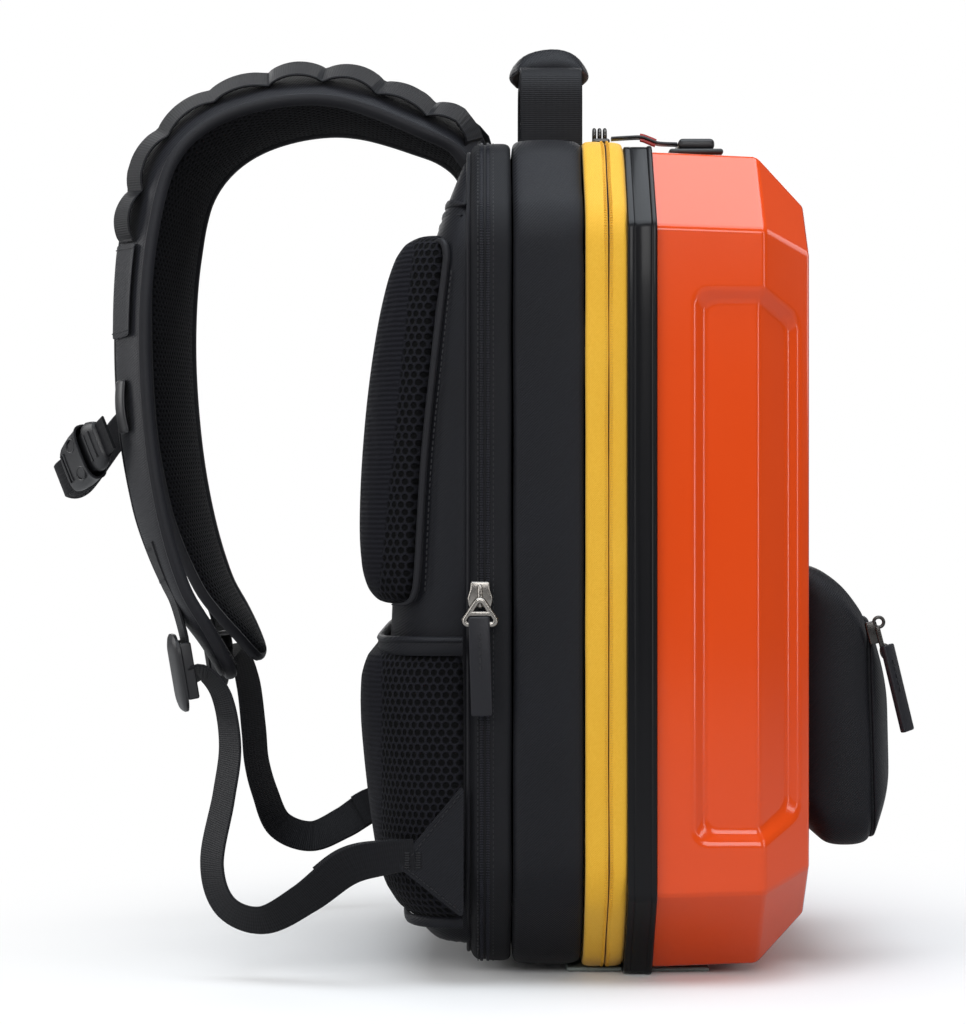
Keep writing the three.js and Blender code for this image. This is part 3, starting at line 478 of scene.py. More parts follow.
# %% Shell
HALF_WIDTH = 165.0
CORNER_CUT = 48.0
CUT_PER_INSET = 2 - math.sqrt(2)
SHELL_ROWS = table("x half bottom top", (7.5, 161.5, 4.0, 459.0), (65.7, 160.5, 6.0, 456.5),
                   (93.0, 133.5, 33.0, 429.5))
SHELL_MIDDLE = 231
RECESS = {"start": 27.0, "low": 78.0, "high": 379.0, "front": 87.0, "taper": 14.0, "wall": 6.4, "depth": 4.5}


def octagon(bm, x, half, bottom, top):
    """The bag's outline at x, as a closed loop of eight edges."""
    cut = CORNER_CUT - CUT_PER_INSET * (HALF_WIDTH - half)
    right = [(half - cut, bottom), (half, bottom + cut), (half, top - cut), (half - cut, top)]
    left = [(-y, z) for y, z in reversed(right)]
    verts = [bm.verts.new((x, y, z)) for y, z in right + left]
    return [bm.edges.new(pair) for pair in zip(verts, verts[1:] + verts[:1])]


def cut_faces(bm, faces, point, normal):
    """Cuts some faces by a plane and returns the faces that they became."""
    geom = list(faces) + list({e for f in faces for e in f.edges}) + list({v for f in faces for v in f.verts})
    made = bmesh.ops.bisect_plane(bm, geom=geom, dist=0.001, plane_co=point, plane_no=normal)
    return [part for part in made["geom"] if isinstance(part, bmesh.types.BMFace)]


def sunk(co):
    """How far a point of the shell's side lies below its flat face or its bevel."""
    rear, middle, front = SHELL_ROWS
    if co.x < middle["x"]:
        share = (middle["x"] - co.x) / (middle["x"] - rear["x"])
        return middle["half"] + (rear["half"] - middle["half"]) * share - abs(co.y)
    slope = (middle["half"] - front["half"]) / (front["x"] - middle["x"])
    return (middle["half"] - slope * (co.x - middle["x"]) - abs(co.y)) / math.hypot(1, slope)


bm = bmesh.new()
loops = [octagon(bm, **row) for row in SHELL_ROWS]
for before, after in zip(loops, loops[1:]):
    bmesh.ops.bridge_loops(bm, edges=before + after)
bmesh.ops.contextual_create(bm, geom=loops[-1])
bend = SHELL_ROWS[1]["x"]
for sign in (-1, 1):
    bm.normal_update()
    bm.faces.ensure_lookup_table()
    middles = [(f, f.calc_center_median()) for f in bm.faces]
    beside = [(f, c) for f, c in middles if sign * c.y > 120 and abs(c.z - SHELL_MIDDLE) < 20]
    side = [f for f, c in beside if c.x < bend]
    bevel = [f for f, c in beside if c.x > bend]
    for z, way in ((RECESS["low"], -1), (RECESS["high"], 1)):
        side = cut_faces(bm, side, (0, 0, z), (0, 0, 1))
        bevel = cut_faces(bm, bevel, (bend, 0, z), (RECESS["taper"] * way, 0, RECESS["front"] - bend))
    side = cut_faces(bm, side, (RECESS["start"], 0, 0), (1, 0, 0))
    bevel = cut_faces(bm, bevel, (RECESS["front"], 0, 0), (1, 0, 0))
    panel = [f for f in side if f.calc_center_median().x > RECESS["start"]]
    panel += [f for f in bevel if f.calc_center_median().x < RECESS["front"]]
    panel = [f for f in panel if RECESS["low"] < f.calc_center_median().z < RECESS["high"]]
    bmesh.ops.recalc_face_normals(bm, faces=bm.faces)
    bmesh.ops.inset_region(bm, faces=panel, thickness=RECESS["wall"], depth=-RECESS["depth"],
                           use_even_offset=True)
bmesh.ops.dissolve_limit(bm, angle_limit=math.radians(1), verts=bm.verts, edges=bm.edges)
mitres = [e for e in bm.edges if abs(sunk(e.verts[0].co) - sunk(e.verts[1].co)) > 3
          and all(abs(v.co.x - bend) > 6 and abs(v.co.y) > 120 and 60 < v.co.z < 400 for v in e.verts)]
print("recess corners", len(mitres))
soften(bm, mitres, 6.0, 4, clamp=True)
sharp_edges = [e for e in bm.edges if len(e.link_faces) == 2 and e.calc_face_angle() > math.radians(12)]
soften(bm, sharp_edges, 2.3, 4, clamp=True)
shell = piece_of(bm, "hard_shell", orange_abs, ("shell",))
wall = shell.modifiers.new("wall", "SOLIDIFY")
wall.thickness = 3.2 * MM
wall.offset = -1
even = shell.modifiers.new("even", "WEIGHTED_NORMAL")
even.keep_sharp = True

# %% [markdown]
# Rim, zip tapes and soft wall all run round the bag, so one function makes them: the rounded
# outline is drawn once, then extruded from row to row of a section table. A row gives the place
# along the bag and how far the section lies inside the widest outline. The last loop is bridged to
# the first, which closes the band.

# %% Bands round the bag
BASE = {"half": 165.0, "bottom": 3.0, "top": 466.0}


def row_matrix(x, inset, size):
    """From the base outline to one that is drawn in by an inset at x."""
    low, high = size["bottom"] + inset, size["top"] - inset
    tall = (high - low) / (BASE["top"] - BASE["bottom"])
    wide = (size["half"] - inset) / BASE["half"]
    return Matrix.Translation((x, 0, low - BASE["bottom"] * tall)) @ Matrix.Diagonal((1, wide, tall, 1))


def outline_face(rounding, segments):
    """The base outline with rounded corners, as one flat face."""
    bm = bmesh.new()
    bmesh.ops.contextual_create(bm, geom=octagon(bm, 0, **BASE))
    soften(bm, bm.verts[:], rounding, segments, "VERTICES")
    return bm


def band(section, size, rounding, segments, step):
    """A closed band round the bag; section is a list of (x, inset)."""
    bm = outline_face(rounding, segments)
    split_long(bm, bm.edges, step)
    bmesh.ops.delete(bm, geom=bm.faces[:], context="FACES_ONLY")
    first = bm.edges[:]
    last = carry(bm, first, [row_matrix(x, inset, size) for x, inset in section])
    bmesh.ops.bridge_loops(bm, edges=first + last)
    return bm


RIM_SIZE = {"half": 164.6, "bottom": 0.0, "top": 462.6}
RIM_SECTION = ((-8.7, 1.6), (-8.5, 0.9), (-7.8, 0.6), (-5.2, 0.6), (-4.9, 0.85), (-4.6, 0.6), (3.6, 0.6),
               (4.1, 0.75), (4.6, 0.25), (5.4, 0.0), (6.4, 0.0), (7.0, 0.4), (7.2, 1.2), (7.2, 4.0),
               (-8.7, 4.0))
piece_of(band(RIM_SECTION, RIM_SIZE, 3, 3, 60), "rim_band", rim_pvc, ("rim",), sharp=50)

# %% [markdown]
# The yellow gusset is two woven tapes that meet in a narrow slit over the zip. Each tape is sewn in
# with a rounded edge, bulges a little and turns under at the slit. A soft noise takes away the
# straightness that cut cloth never has.

# %% Yellow gusset
TAPE_SIZE = {"half": 165.0, "bottom": 2.4, "top": 466.8}
TAPE_ROUND = 14
REAR_TAPE = ((-31.7, 3.2), (-31.4, 1.7), (-30.4, 0.8), (-28.0, 0.4), (-24.5, 0.4), (-21.5, 0.5), (-19.7, 0.7),
             (-19.25, 1.1), (-19.2, 3.4), (-31.7, 4.2))
FRONT_TAPE = ((-18.8, 3.4), (-18.75, 1.1), (-18.3, 0.7), (-16.5, 0.5), (-13.5, 0.6), (-10.6, 1.2),
              (-9.4, 2.0), (-8.9, 3.0), (-8.6, 4.5), (-6.0, 4.7), (-6.0, 5.6), (-18.8, 5.2))
for end, section, shift in (("rear", REAR_TAPE, 3.0), ("front", FRONT_TAPE, 9.0)):
    bm = band(section, TAPE_SIZE, TAPE_ROUND, 4, 16)
    ruffle(bm, 0.45, 42, shift)
    piece_of(bm, "yellow_%s_tape" % end, yellow_tape, ("gusset_" + end,), levels=1)

# %% [markdown]
# Behind it comes the soft black wall of the bag, and behind that the two black tapes of the laptop
# zip, with a thin piping where the back begins. They are bands as well, each with a rolled seam at
# its borders. The wall's front seam wanders a little towards the top, where the cloth is slack.

# %% Soft wall and laptop tapes
WALL_SIZE = {"half": 165.2, "bottom": 3.4, "top": 467.4}
WALL_SECTION = ((-70.7, 5.5), (-70.5, 3.6), (-69.6, 1.9), (-67.5, 0.9), (-63.0, 0.3), (-55.0, 0.0),
                (-46.0, 0.0), (-38.5, 0.4), (-35.0, 1.2), (-33.0, 2.4), (-32.3, 3.8), (-32.3, 6.5),
                (-70.7, 7.5))
SLACK_FROM, SLACK_OVER = 300, 80
bm = band(WALL_SECTION, WALL_SIZE, 16, 5, 14)
ruffle(bm, 0.7, 70, 5.0)
for v in bm.verts:
    if v.co.x > -36 and v.co.z > SLACK_FROM:
        slack = min((v.co.z - SLACK_FROM) / SLACK_OVER, 1)
        v.co.x += 1.6 * noise.noise((v.co.z / 17, v.co.y / 17, 0)) * slack
piece_of(bm, "soft_wall", twill, ("main_body",), levels=1)

LAPTOP_SIZE = {"half": 164.6, "bottom": 4.2, "top": 467.0}
LAPTOP_ROUND = 15
LAPTOP_FRONT = ((-84.9, 5.0), (-84.9, 2.3), (-84.5, 1.9), (-82.0, 1.5), (-77.0, 1.4), (-74.0, 1.6),
                (-72.3, 2.6), (-71.4, 4.4), (-71.3, 6.0), (-84.9, 6.4))
LAPTOP_REAR = ((-94.9, 11.0), (-94.5, 8.4), (-93.7, 6.0), (-92.6, 4.2), (-91.3, 2.8), (-89.8, 2.1),
               (-87.6, 1.9), (-87.1, 2.3), (-87.1, 5.0), (-94.9, 12.5))
for end, section, shift in (("front", LAPTOP_FRONT, 2.0), ("rear", LAPTOP_REAR, 7.0)):
    bm = band(section, LAPTOP_SIZE, LAPTOP_ROUND, 5, 16)
    ruffle(bm, 0.35, 50, shift)
    name = "laptop_tape_" + end
    piece_of(bm, name, zip_tape, (name,), levels=1)
PIPING = [(-95.0 + 1.2 * math.cos(a * math.pi / 4), 7.2 + 1.2 * math.sin(a * math.pi / 4)) for a in range(8)]
piece_of(band(PIPING, LAPTOP_SIZE, LAPTOP_ROUND, 5, 16), "back_piping", binding_cloth)

# %% [markdown]
# A coil zip is a nylon spring sewn to its tape, and what shows is a row of short ribs on each side
# of a slit, about 1.4 mm apart. One rib is a small block with its top edges taken off. It is copied
# to each step along the outline, turned to lie flat on the tape, with a row on either side. The
# stitches of the laptop tape are made in the same way, with a longer step.

# %% Zip ribs
RIB_STEP = 1.37
SEAM_STEP = 3.1
RIB_TOP = 0.7
CHAIN_HALF, CHAIN_DEEP = 1.7, 1.4


def outline_runs(size, inset, rounding):
    """The straight runs of the bag's rounded outline."""
    bm = outline_face(rounding, 6)
    bmesh.ops.transform(bm, matrix=row_matrix(0, inset, size), verts=bm.verts)
    bm.faces.ensure_lookup_table()
    ring = [corner.vert.co.copy() for corner in bm.faces[0].loops]
    bm.free()
    return list(zip(ring, ring[1:] + ring[:1]))


def rib_row(runs, rows, length, width, rise, step=RIB_STEP):
    """Rows of ribs round the bag: one rib for each run, copied along it."""
    bm = bmesh.new()
    axis = Vector((1, 0, 0))
    middle = Vector((0, 0, (BASE["bottom"] + BASE["top"]) / 2))
    block_size = Matrix.Diagonal((length, width, rise * 2, 1))
    for x in rows:
        for a, b in runs:
            along = b - a
            count = max(round(along.length / step), 1)
            out = axis.cross(along).normalized()
            out = out if out.dot(a - middle) > 0 else -out
            place = frame_at(axis, out.cross(axis), out, a + along / (2 * count) + axis * x)
            rib = bmesh.ops.create_cube(bm, size=1, matrix=place @ block_size)["verts"]
            top = [v for v in rib if (v.co - a).dot(out) > 0]
            centre = sum((v.co for v in top), Vector()) / 4
            bmesh.ops.scale(bm, vec=(RIB_TOP, RIB_TOP, RIB_TOP), verts=top, space=Matrix.Translation(-centre))
            parts = rib + list({e for v in rib for e in v.link_edges})
            parts += list({f for v in rib for f in v.link_faces})
            if count > 1:
                bmesh.ops.spin(bm, geom=parts, cent=a, axis=axis, dvec=along / count, angle=0,
                               steps=count - 1, use_duplicate=True)
    return bm


# Both chains are drawn in black zip tape. Under the yellow ribs of the main zip, whose coil is yellow, the
# black chain is painted shade in the slit between the tapes.
CHAINS = (
    ("main", TAPE_SIZE, -19.0, 2.2, "gusset_fabric", TAPE_ROUND),
    ("laptop", LAPTOP_SIZE, -86.0, 2.35, "coil_nylon", LAPTOP_ROUND),
)
for name, size, x, inset, slot, rounding in CHAINS:
    left, right, deep = x - CHAIN_HALF, x + CHAIN_HALF, inset + CHAIN_DEEP
    chain = ((left, inset), (right, inset), (right, deep), (left, deep))
    piece_of(band(chain, size, rounding, 5, 20), name + "_zip_chain", zip_tape, (name + "_zip_coil",))
ribs = rib_row(outline_runs(TAPE_SIZE, 0.75, TAPE_ROUND), (-20.7, -17.5), 1.7, 0.75, 0.45)
piece_of(ribs, "yellow_zip_ribs", yellow_coil)
ribs = rib_row(outline_runs(LAPTOP_SIZE, 1.85, LAPTOP_ROUND), (-87.75, -84.25), 2.1, 0.85, 0.55)
piece_of(ribs, "laptop_zip_ribs", black_coil)
seams = rib_row(outline_runs(LAPTOP_SIZE, 1.75, LAPTOP_ROUND), (-89.8, -81.4), 0.6, 2.1, 0.4, SEAM_STEP)
piece_of(seams, "laptop_tape_stitches", thread)

# %% [markdown]
# Straps, webbing and bindings all follow a line. One helper runs a smooth curve through a few knots
# and cuts it into equal lengths. Others stand a frame at each point: across the band, up from its
# face, and along. These frames, with the band's half width there and the distance from its start,
# are called stations.

# %% Lines and stations
EDGE_LEAN = 5


def smooth_points(knots, parts):
    """A smooth curve through knots, as (point, knot number)."""
    knots = [Vector(k) for k in knots]
    ends = [2 * knots[0] - knots[1]] + knots + [2 * knots[-1] - knots[-2]]
    dense = []
    for i in range(len(knots) - 1):
        a, b, c, d = ends[i:i + 4]
        span = interpolate_bezier(b, b + (c - a) / 6, c - (d - b) / 6, c, parts + 1)
        dense += [(point, i + k / parts) for k, point in enumerate(span[:-1])]
    return dense + [(knots[-1], len(knots) - 1.0)]


def even_line(knots, count, parts=16):
    """A smooth curve in equal lengths, as (point, knot number, direction, distance from the start)."""
    dense = smooth_points(knots, parts)
    travel = [0.0]
    for (a, _), (b, _) in zip(dense, dense[1:]):
        travel.append(travel[-1] + (b - a).length)
    cuts, k = [], 0
    for i in range(count + 1):
        goal = travel[-1] * i / count
        while k < len(dense) - 2 and travel[k + 1] < goal:
            k += 1
        share = (goal - travel[k]) / max(travel[k + 1] - travel[k], 1e-9)
        (a, first), (b, second) = dense[k], dense[k + 1]
        cuts.append((a.lerp(b, share), first + share * (second - first)))
    line = []
    for i, (point, knot) in enumerate(cuts):
        along = (cuts[min(i + 1, count)][0] - cuts[max(i - 1, 0)][0]).normalized()
        line.append((point, knot, along, travel[-1] * i / count))
    return line


def column(rows, name, knot):
    """A column of a table between two of its rows."""
    first = min(int(knot), len(rows) - 2)
    return rows[first][name] + (rows[first + 1][name] - rows[first][name]) * (knot - first)


def strap_stations(rows, sign, from_edge, count):
    """Stations along a strap; rows give its outer edge, or its middle line if from_edge is 0."""
    stations = []
    inward = Vector((0, -sign, 0))
    for point, knot, along, travel in even_line([(r["x"], sign * r["y"], r["z"]) for r in rows], count):
        out = Vector((0, 1, 0)).cross(along).normalized()
        lean = math.radians(column(rows, "lean", knot) + from_edge * EDGE_LEAN)
        width = column(rows, "width", knot)
        across = inward * math.cos(lean) + out * math.sin(lean)
        up = out * math.cos(lean) - inward * math.sin(lean)
        middle = point + across * (from_edge * width / 2)
        stations.append({"frame": frame_at(across, up, along, middle), "wide": width / 2, "travel": travel})
    return stations


def band_stations(knots, count, across=None, up=None):
    """Stations along a free band whose width, or else whose face, keeps one direction."""
    stations = []
    for point, _, along, travel in even_line(knots, count):
        wide = Vector(up).cross(along).normalized() if up else Vector(across).normalized()
        place = frame_at(wide, along.cross(wide).normalized(), along, point)
        stations.append({"frame": place, "wide": 1.0, "travel": travel})
    return stations


def lifted(stations, start, end, count, lift, shift=0.0):
    """Stations over a part of a strap, raised from its middle by lift(share) and shifted across it."""
    last = len(stations) - 1
    raised = []
    for i in range(count + 1):
        station = stations[round((start + (end - start) * i / count) * last)]
        place = station["frame"] @ Matrix.Translation((shift, lift(i / count), 0))
        raised.append({"frame": place, "wide": 1.0, "travel": station["travel"]})
    return raised


print("line helpers ready")

# %% [markdown]
# A sweep carries a section from station to station with one extrusion each, and notes in the flow
# attribute how far across and along each point lies. Small hardware and sewing need three shapes
# more: a block with soft edges, a ring of wire that is spun from one round section, and a stitch,
# which is a small block with its top drawn in.

# %% Sweeps, stitches, blocks and rings
STITCH_TOP = 0.72


def sweep(section, stations, bm=None, closed=False):
    """Carries a closed section of (across, up) points along stations, into a new mesh or a given one."""
    bm = bmesh.new() if bm is None else bm
    flow = bm.verts.layers.float_vector.get("flow") or bm.verts.layers.float_vector.new("flow")
    verts = [bm.verts.new((u, v, 0)) for u, v in section]
    first = loop = [bm.edges.new(pair) for pair in zip(verts, verts[1:] + verts[:1])]
    frames = [s["frame"] @ Matrix.Diagonal((s["wide"], s.get("tall", 1.0), 1, 1)) for s in stations]
    if not closed:
        bmesh.ops.contextual_create(bm, geom=loop)
    bmesh.ops.transform(bm, matrix=frames[0], verts=verts)
    for i, station in enumerate(stations):
        if i:
            loop = next_loop(bm, loop, frames[i] @ frames[i - 1].inverted())
        back = frames[i].inverted()
        for v in {v for e in loop for v in e.verts}:
            v[flow] = Vector(((back @ v.co).x * station["wide"] * MM, station["travel"] * MM, 0))
    if closed:
        bmesh.ops.bridge_loops(bm, edges=first + loop)
    else:
        bmesh.ops.contextual_create(bm, geom=loop)
    return bm


def flat_section(half, thick, corner=0.35):
    """A flat band's section with its corners taken off."""
    high = thick / 2
    low = high - corner * thick
    near = half - corner * thick
    right = [(near, -high), (half, -low), (half, low), (near, high)]
    return right + [(-u, v) for u, v in reversed(right)]


def round_section(wide, tall, sides=10):
    angles = [2 * math.pi * i / sides for i in range(sides)]
    return [(wide * math.cos(a), tall * math.sin(a)) for a in angles]


def stitches(places, length=2.3, width=0.7, rise=0.35, bm=None):
    """Short stitches; each place is a frame with the seam along its third axis."""
    bm = bmesh.new() if bm is None else bm
    for place in places:
        size = Matrix.Diagonal((width, rise * 2, length, 1))
        made = bmesh.ops.create_cube(bm, size=1, matrix=place @ size)["verts"]
        top = [v for v in made if (place.inverted() @ v.co).y > 0]
        middle = sum((v.co for v in top), Vector()) / len(top)
        bmesh.ops.scale(bm, vec=(STITCH_TOP, STITCH_TOP, STITCH_TOP), verts=top,
                        space=Matrix.Translation(-middle))
    return bm


def block(low, high, reach, segments=3, bm=None):
    """A block between two corners with softened edges."""
    bm = bmesh.new() if bm is None else bm
    low, high = Vector(low), Vector(high)
    size = high - low
    place = Matrix.Translation((low + high) / 2) @ Matrix.Diagonal((size.x, size.y, size.z, 1))
    verts = bmesh.ops.create_cube(bm, size=1, matrix=place)["verts"]
    soften(bm, list({e for v in verts for e in v.link_edges}), reach, segments)
    return bm


def wire_loop(bm, radius, wire, matrix, stretch=(1, 1, 1), steps=28):
    """A ring of wire, spun from one round section."""
    upright_at = Matrix.Translation((radius, 0, 0)) @ Matrix.Rotation(QUARTER, 4, "X")
    section = bmesh.ops.create_circle(bm, segments=10, radius=wire, matrix=upright_at)["verts"]
    edges = list({e for v in section for e in v.link_edges})
    before = set(bm.verts)
    bmesh.ops.spin(bm, geom=section + edges, cent=(0, 0, 0), axis=(0, 0, 1), angle=2 * math.pi, steps=steps,
                   use_merge=True)
    ring = [v for v in bm.verts if v not in before] + [v for v in section if v.is_valid]
    bmesh.ops.transform(bm, matrix=matrix @ Matrix.Diagonal((*stretch, 1)), verts=ring)


print("sweep helpers ready")

# %% [markdown]
# The back of the bag is one soft panel that wraps round both sides. A flat section with two rounded
# corners is extruded upwards, row by row, and each row stretches it to its own depth and width. The
# rows are close where the panel turns. Subdivision then rounds what is left.

# %% Back panel
BACK_FRONT = -91.5
BACK_ROWS = table(
    "z rear half",
    (13, -109, 117), (22, -120, 125), (36, -129, 138), (58, -136, 156), (94, -139, 157), (130, -141, 157),
    (165, -140, 157), (200, -138, 157), (250, -136.5, 157), (300, -135, 157), (340, -131, 157),
    (370, -126, 157), (392, -120, 157), (408, -114, 157), (432, -107, 140),
    (452, -99, 121), (459, -96.6, 114),
)


def wrap(rows, corners, step):
    """A loft of flat sections; a row gives z, front, rear, from and to, a corner its reach."""
    bm = bmesh.new()
    flow = bm.verts.layers.float_vector.new("flow")
    wide = max(rows, key=lambda r: r["front"] - r["rear"])
    ends = (("front", "from"), ("rear", "from"), ("rear", "to"), ("front", "to"))
    verts = [bm.verts.new((wide[x], wide[y], 0)) for x, y in ends]
    bm.faces.new(verts)
    for vert, reach in zip(verts[1:3], corners):
        soften(bm, [vert], reach, 5, "VERTICES")
    split_long(bm, bm.edges, step)

    def place(row):
        deep = (row["rear"] - row["front"]) / (wide["rear"] - wide["front"])
        span = (row["to"] - row["from"]) / (wide["to"] - wide["from"])
        move = (row["front"] - wide["front"] * deep, row["from"] - wide["from"] * span, row["z"])
        return Matrix.Translation(move) @ Matrix.Diagonal((deep, span, 1, 1))

    loop = carry(bm, bm.edges[:], [place(row) for row in rows])
    bmesh.ops.contextual_create(bm, geom=loop)
    for v in bm.verts:
        v[flow] = Vector((abs(v.co.y) + v.co.x, v.co.z, 0)) * MM
    return bm


def across_bag(rows, front):
    """Rows of a panel that reaches as far to the left as to the right."""
    return [{**r, "front": front, "from": -r["half"], "to": r["half"]} for r in rows]


bm = wrap(across_bag(BACK_ROWS, BACK_FRONT), (37, 37), 16)
bmesh.ops.smooth_vert(bm, verts=[v for v in bm.verts if v.co.x < BACK_FRONT - 3], factor=0.4,
                      use_axis_x=True, use_axis_y=True, use_axis_z=True)
ruffle(bm, 0.9, 60, 11.0)
piece_of(bm, "back_cloth", twill, ("back_panel",), levels=2)

# %% [markdown]
# Three cushions lie on that panel: a pair at the shoulders and a broad one at the small of the back.
# Each is a wrapped loft like the panel, drawn a little small, and then filled: a cloth simulation
# with pressure inside blows the cover up against its sewn edge, as the foam does.

# %% Filling a cover
FRAMES = 20


def dense_copy(piece, voxel=None):
    """The piece's mesh as its modifiers leave it, in even faces of voxel metres if that is given."""
    if voxel:
        even = piece.modifiers.new("even_faces", "REMESH")
        even.mode = "VOXEL"
        even.voxel_size = voxel
    mesh = bpy.data.meshes.new_from_object(piece.evaluated_get(bpy.context.evaluated_depsgraph_get()))
    piece.modifiers.clear()
    return mesh


def inflate(piece, held, cap, pressure=4.0, voxel=None):
    """Fills a cover: a cloth simulation with pressure inside, held at its sewn points."""
    piece.data = dense_copy(piece, voxel)
    start = [v.co.copy() for v in piece.data.vertices]
    sewn = piece.vertex_groups.new(name="sewn")
    sewn.add([i for i, co in enumerate(start) if held(co / MM)], 1.0, "REPLACE")
    cover = piece.modifiers.new("cover", "CLOTH")
    cover.settings.vertex_group_mass = "sewn"
    cover.settings.use_pressure = True
    cover.settings.uniform_pressure_force = pressure
    cover.settings.effector_weights.gravity = 0
    cover.settings.quality = 5
    cover.point_cache.frame_start = 1
    cover.point_cache.frame_end = FRAMES
    for number in range(1, FRAMES + 1):
        scene.frame_set(number)
    blown = dense_copy(piece)
    scene.frame_set(1)
    furthest = 0.0
    for v, before in zip(blown.vertices, start):
        move = v.co - before
        furthest = max(furthest, move.length)
        if move.length > cap * MM:
            v.co = before + move.normalized() * cap * MM
    flow = blown.attributes.get("flow") or blown.attributes.new("flow", "FLOAT_VECTOR", "POINT")
    for v in blown.vertices:
        flow.data[v.index].vector = Vector((abs(v.co.y) + v.co.x, v.co.z, 0))
    blown.shade_smooth()
    piece.data = blown
    piece.vertex_groups.clear()
    rounding = piece.modifiers.new("rounding", "SUBSURF")
    rounding.levels = rounding.render_levels = 1
    print(piece.name, "moved up to", round(furthest / MM, 1), "mm, kept to", cap)


print("cloth frames", FRAMES)

# %% Cushions
UPPER_ROWS = table(
    "z rear front outer inner",
    (206, -141, -124, 147, 32), (211, -150, -124, 152, 26), (226, -155.5, -123, 154, 22),
    (246, -155, -122, 154, 22), (266, -154, -120.5, 154, 22), (286, -153, -119, 154, 22),
    (316, -150, -116, 154, 22), (345, -147, -113, 154, 22), (370, -143.5, -110, 153.6, 22),
    (392, -139, -107, 153, 22), (406, -133, -106, 151, 26), (412, -122, -106, 147, 34),
)
LUMBAR_FRONT = -96.5
LUMBAR_ROWS = table(
    "z rear half",
    (31, -120, 136), (34, -127.5, 142), (39, -134.5, 148), (50, -142, 156), (66, -146, 160),
    (88, -148.5, 160.6), (110, -150.5, 161), (135, -153.5, 161), (158, -156, 161), (172, -155, 160.8),
    (180.5, -151, 160.4), (185, -145.5, 160),
)
SIDES = (("left", -1), ("right", 1))
PUFF, PUFF_VOXEL = 5.0, 5 * MM
for side, sign in SIDES:
    rows = [{**r, "from": sign * r["outer"], "to": sign * r["inner"]} for r in UPPER_ROWS]
    bm = wrap(rows, (27, 12), 9)
    piece = piece_of(bm, "upper_cushion_" + side, upper_mesh, ("upper_pad_" + side,), levels=1)
    inflate(piece, lambda co: co.x > -124 or co.z < 209 or co.z > 409, PUFF, voxel=PUFF_VOXEL)

bm = wrap(across_bag(LUMBAR_ROWS, LUMBAR_FRONT), (40, 40), 9)
lumbar = piece_of(bm, "lumbar_cushion", pad_mesh, ("lumbar_pad",), levels=1)
inflate(lumbar, lambda co: co.x > -104 or co.z < 42 or co.z > 176, PUFF, voxel=PUFF_VOXEL)

# %% [markdown]
# Each cushion ends in a sewn edge. The upper ones have a rolled binding down their sides with a row
# of stitches beside it, and above them the cloth of the back is gathered towards the straps in
# three small pleats. The lower one is open at the top like a pocket, with a stiff lip, and has a hem
# at the bottom. All are swept along a few knots that lie on the cushion's edge.

# %% Cushion edges
UPPER_EDGE = ((-137, 147.5, 207.5), (-129, 151, 208), (-124.5, 153.5, 213), (-122.5, 155, 228),
              (-119, 155.4, 286), (-113, 155.4, 345), (-107.8, 154.4, 388), (-107, 153.4, 399),
              (-110, 150, 406), (-118, 142, 403))
UPPER_SEAM = ((-118.5, 156.8, 216), (-115, 157.2, 286), (-109, 157.2, 345), (-104.4, 156.4, 388))
LIP = ((-98, 161.2, 186.5), (-116, 160.8, 186.5), (-130, 155, 186.5), (-139.5, 141, 186.3), (-143, 120, 186),
       (-144.5, 80, 185.5))
HEM = ((-98, 147, 33.5), (-110, 146.5, 33.5), (-119, 142, 33.5), (-126, 132, 33.5), (-129.5, 112, 33.5),
       (-130.5, 60, 33.5))
PLEATS = ((-108.6, 92, 0), (-108, 114, 0), (-105.6, 129, -1), (-101.6, 139, -2), (-97.6, 145.5, -3))
EDGE_STEPS, PLEAT_STEPS = 90, 30
TAPER = [min(1, 0.15 + i / 7, 0.15 + (EDGE_STEPS - i) / 7) for i in range(EDGE_STEPS + 1)]


def on_side(points, sign):
    """Points of the right side, or their mirror images on the left."""
    return [(x, sign * y, z) for x, y, z in points]


def both_sides(half):
    """A line from one side of the bag to the other."""
    return on_side(half, -1) + on_side(half, 1)[::-1]


for side, sign in SIDES:
    edge = band_stations(on_side(UPPER_EDGE, sign), EDGE_STEPS, up=(0, sign, 0))
    edge = [{**s, "wide": k, "tall": k} for s, k in zip(edge, TAPER)]
    piece_of(sweep(round_section(2.0, 1.9), edge), "cushion_binding_" + side, binding_cloth)
    for height in (417, 423, 429):
        lean = 0.29 * (height - 424)
        knots = [(x + lean, y, z + height) for x, y, z in PLEATS]
        fold = band_stations(on_side(knots, sign), PLEAT_STEPS, up=(-1, 0, 0.2))
        fold = [{**s, "wide": 0.25 + 0.75 * math.sin(math.pi * i / PLEAT_STEPS)} for i, s in enumerate(fold)]
        piece_of(sweep(round_section(2.8, 1.5), fold), "pleat_%s_%d" % (side, height), twill)
    seam = band_stations(on_side(UPPER_SEAM, sign), 52, up=(0, sign, 0))
    piece_of(stitches([s["frame"] for s in seam]), "cushion_stitches_" + side, thread)
lip = band_stations(both_sides(LIP), 150, up=(0, 0, 1))
lip_bm = sweep([(u * 0.4, v - 1.8) for u, v in round_section(5.0, 4.8, 14)], lip)
sweep([(u, v + 2.0) for u, v in round_section(2.5, 2.1)], lip, lip_bm)
piece_of(lip_bm, "lumbar_lip", twill)
hem = band_stations(both_sides(HEM), 150, up=(0, 0, 1))
piece_of(sweep(round_section(1.6, 3.0, 12), hem), "lumbar_hem", twill)

# %% [markdown]
# A shoulder strap is foam between a twill face and a mesh lining, bound along both edges with a
# rolled tape. Each of the three is swept along the same line: from the top of the bag, over in an
# arch, and down to a narrow tip. No two straps fall alike, so the right one's arch is lifted by the
# millimetres in the last column.

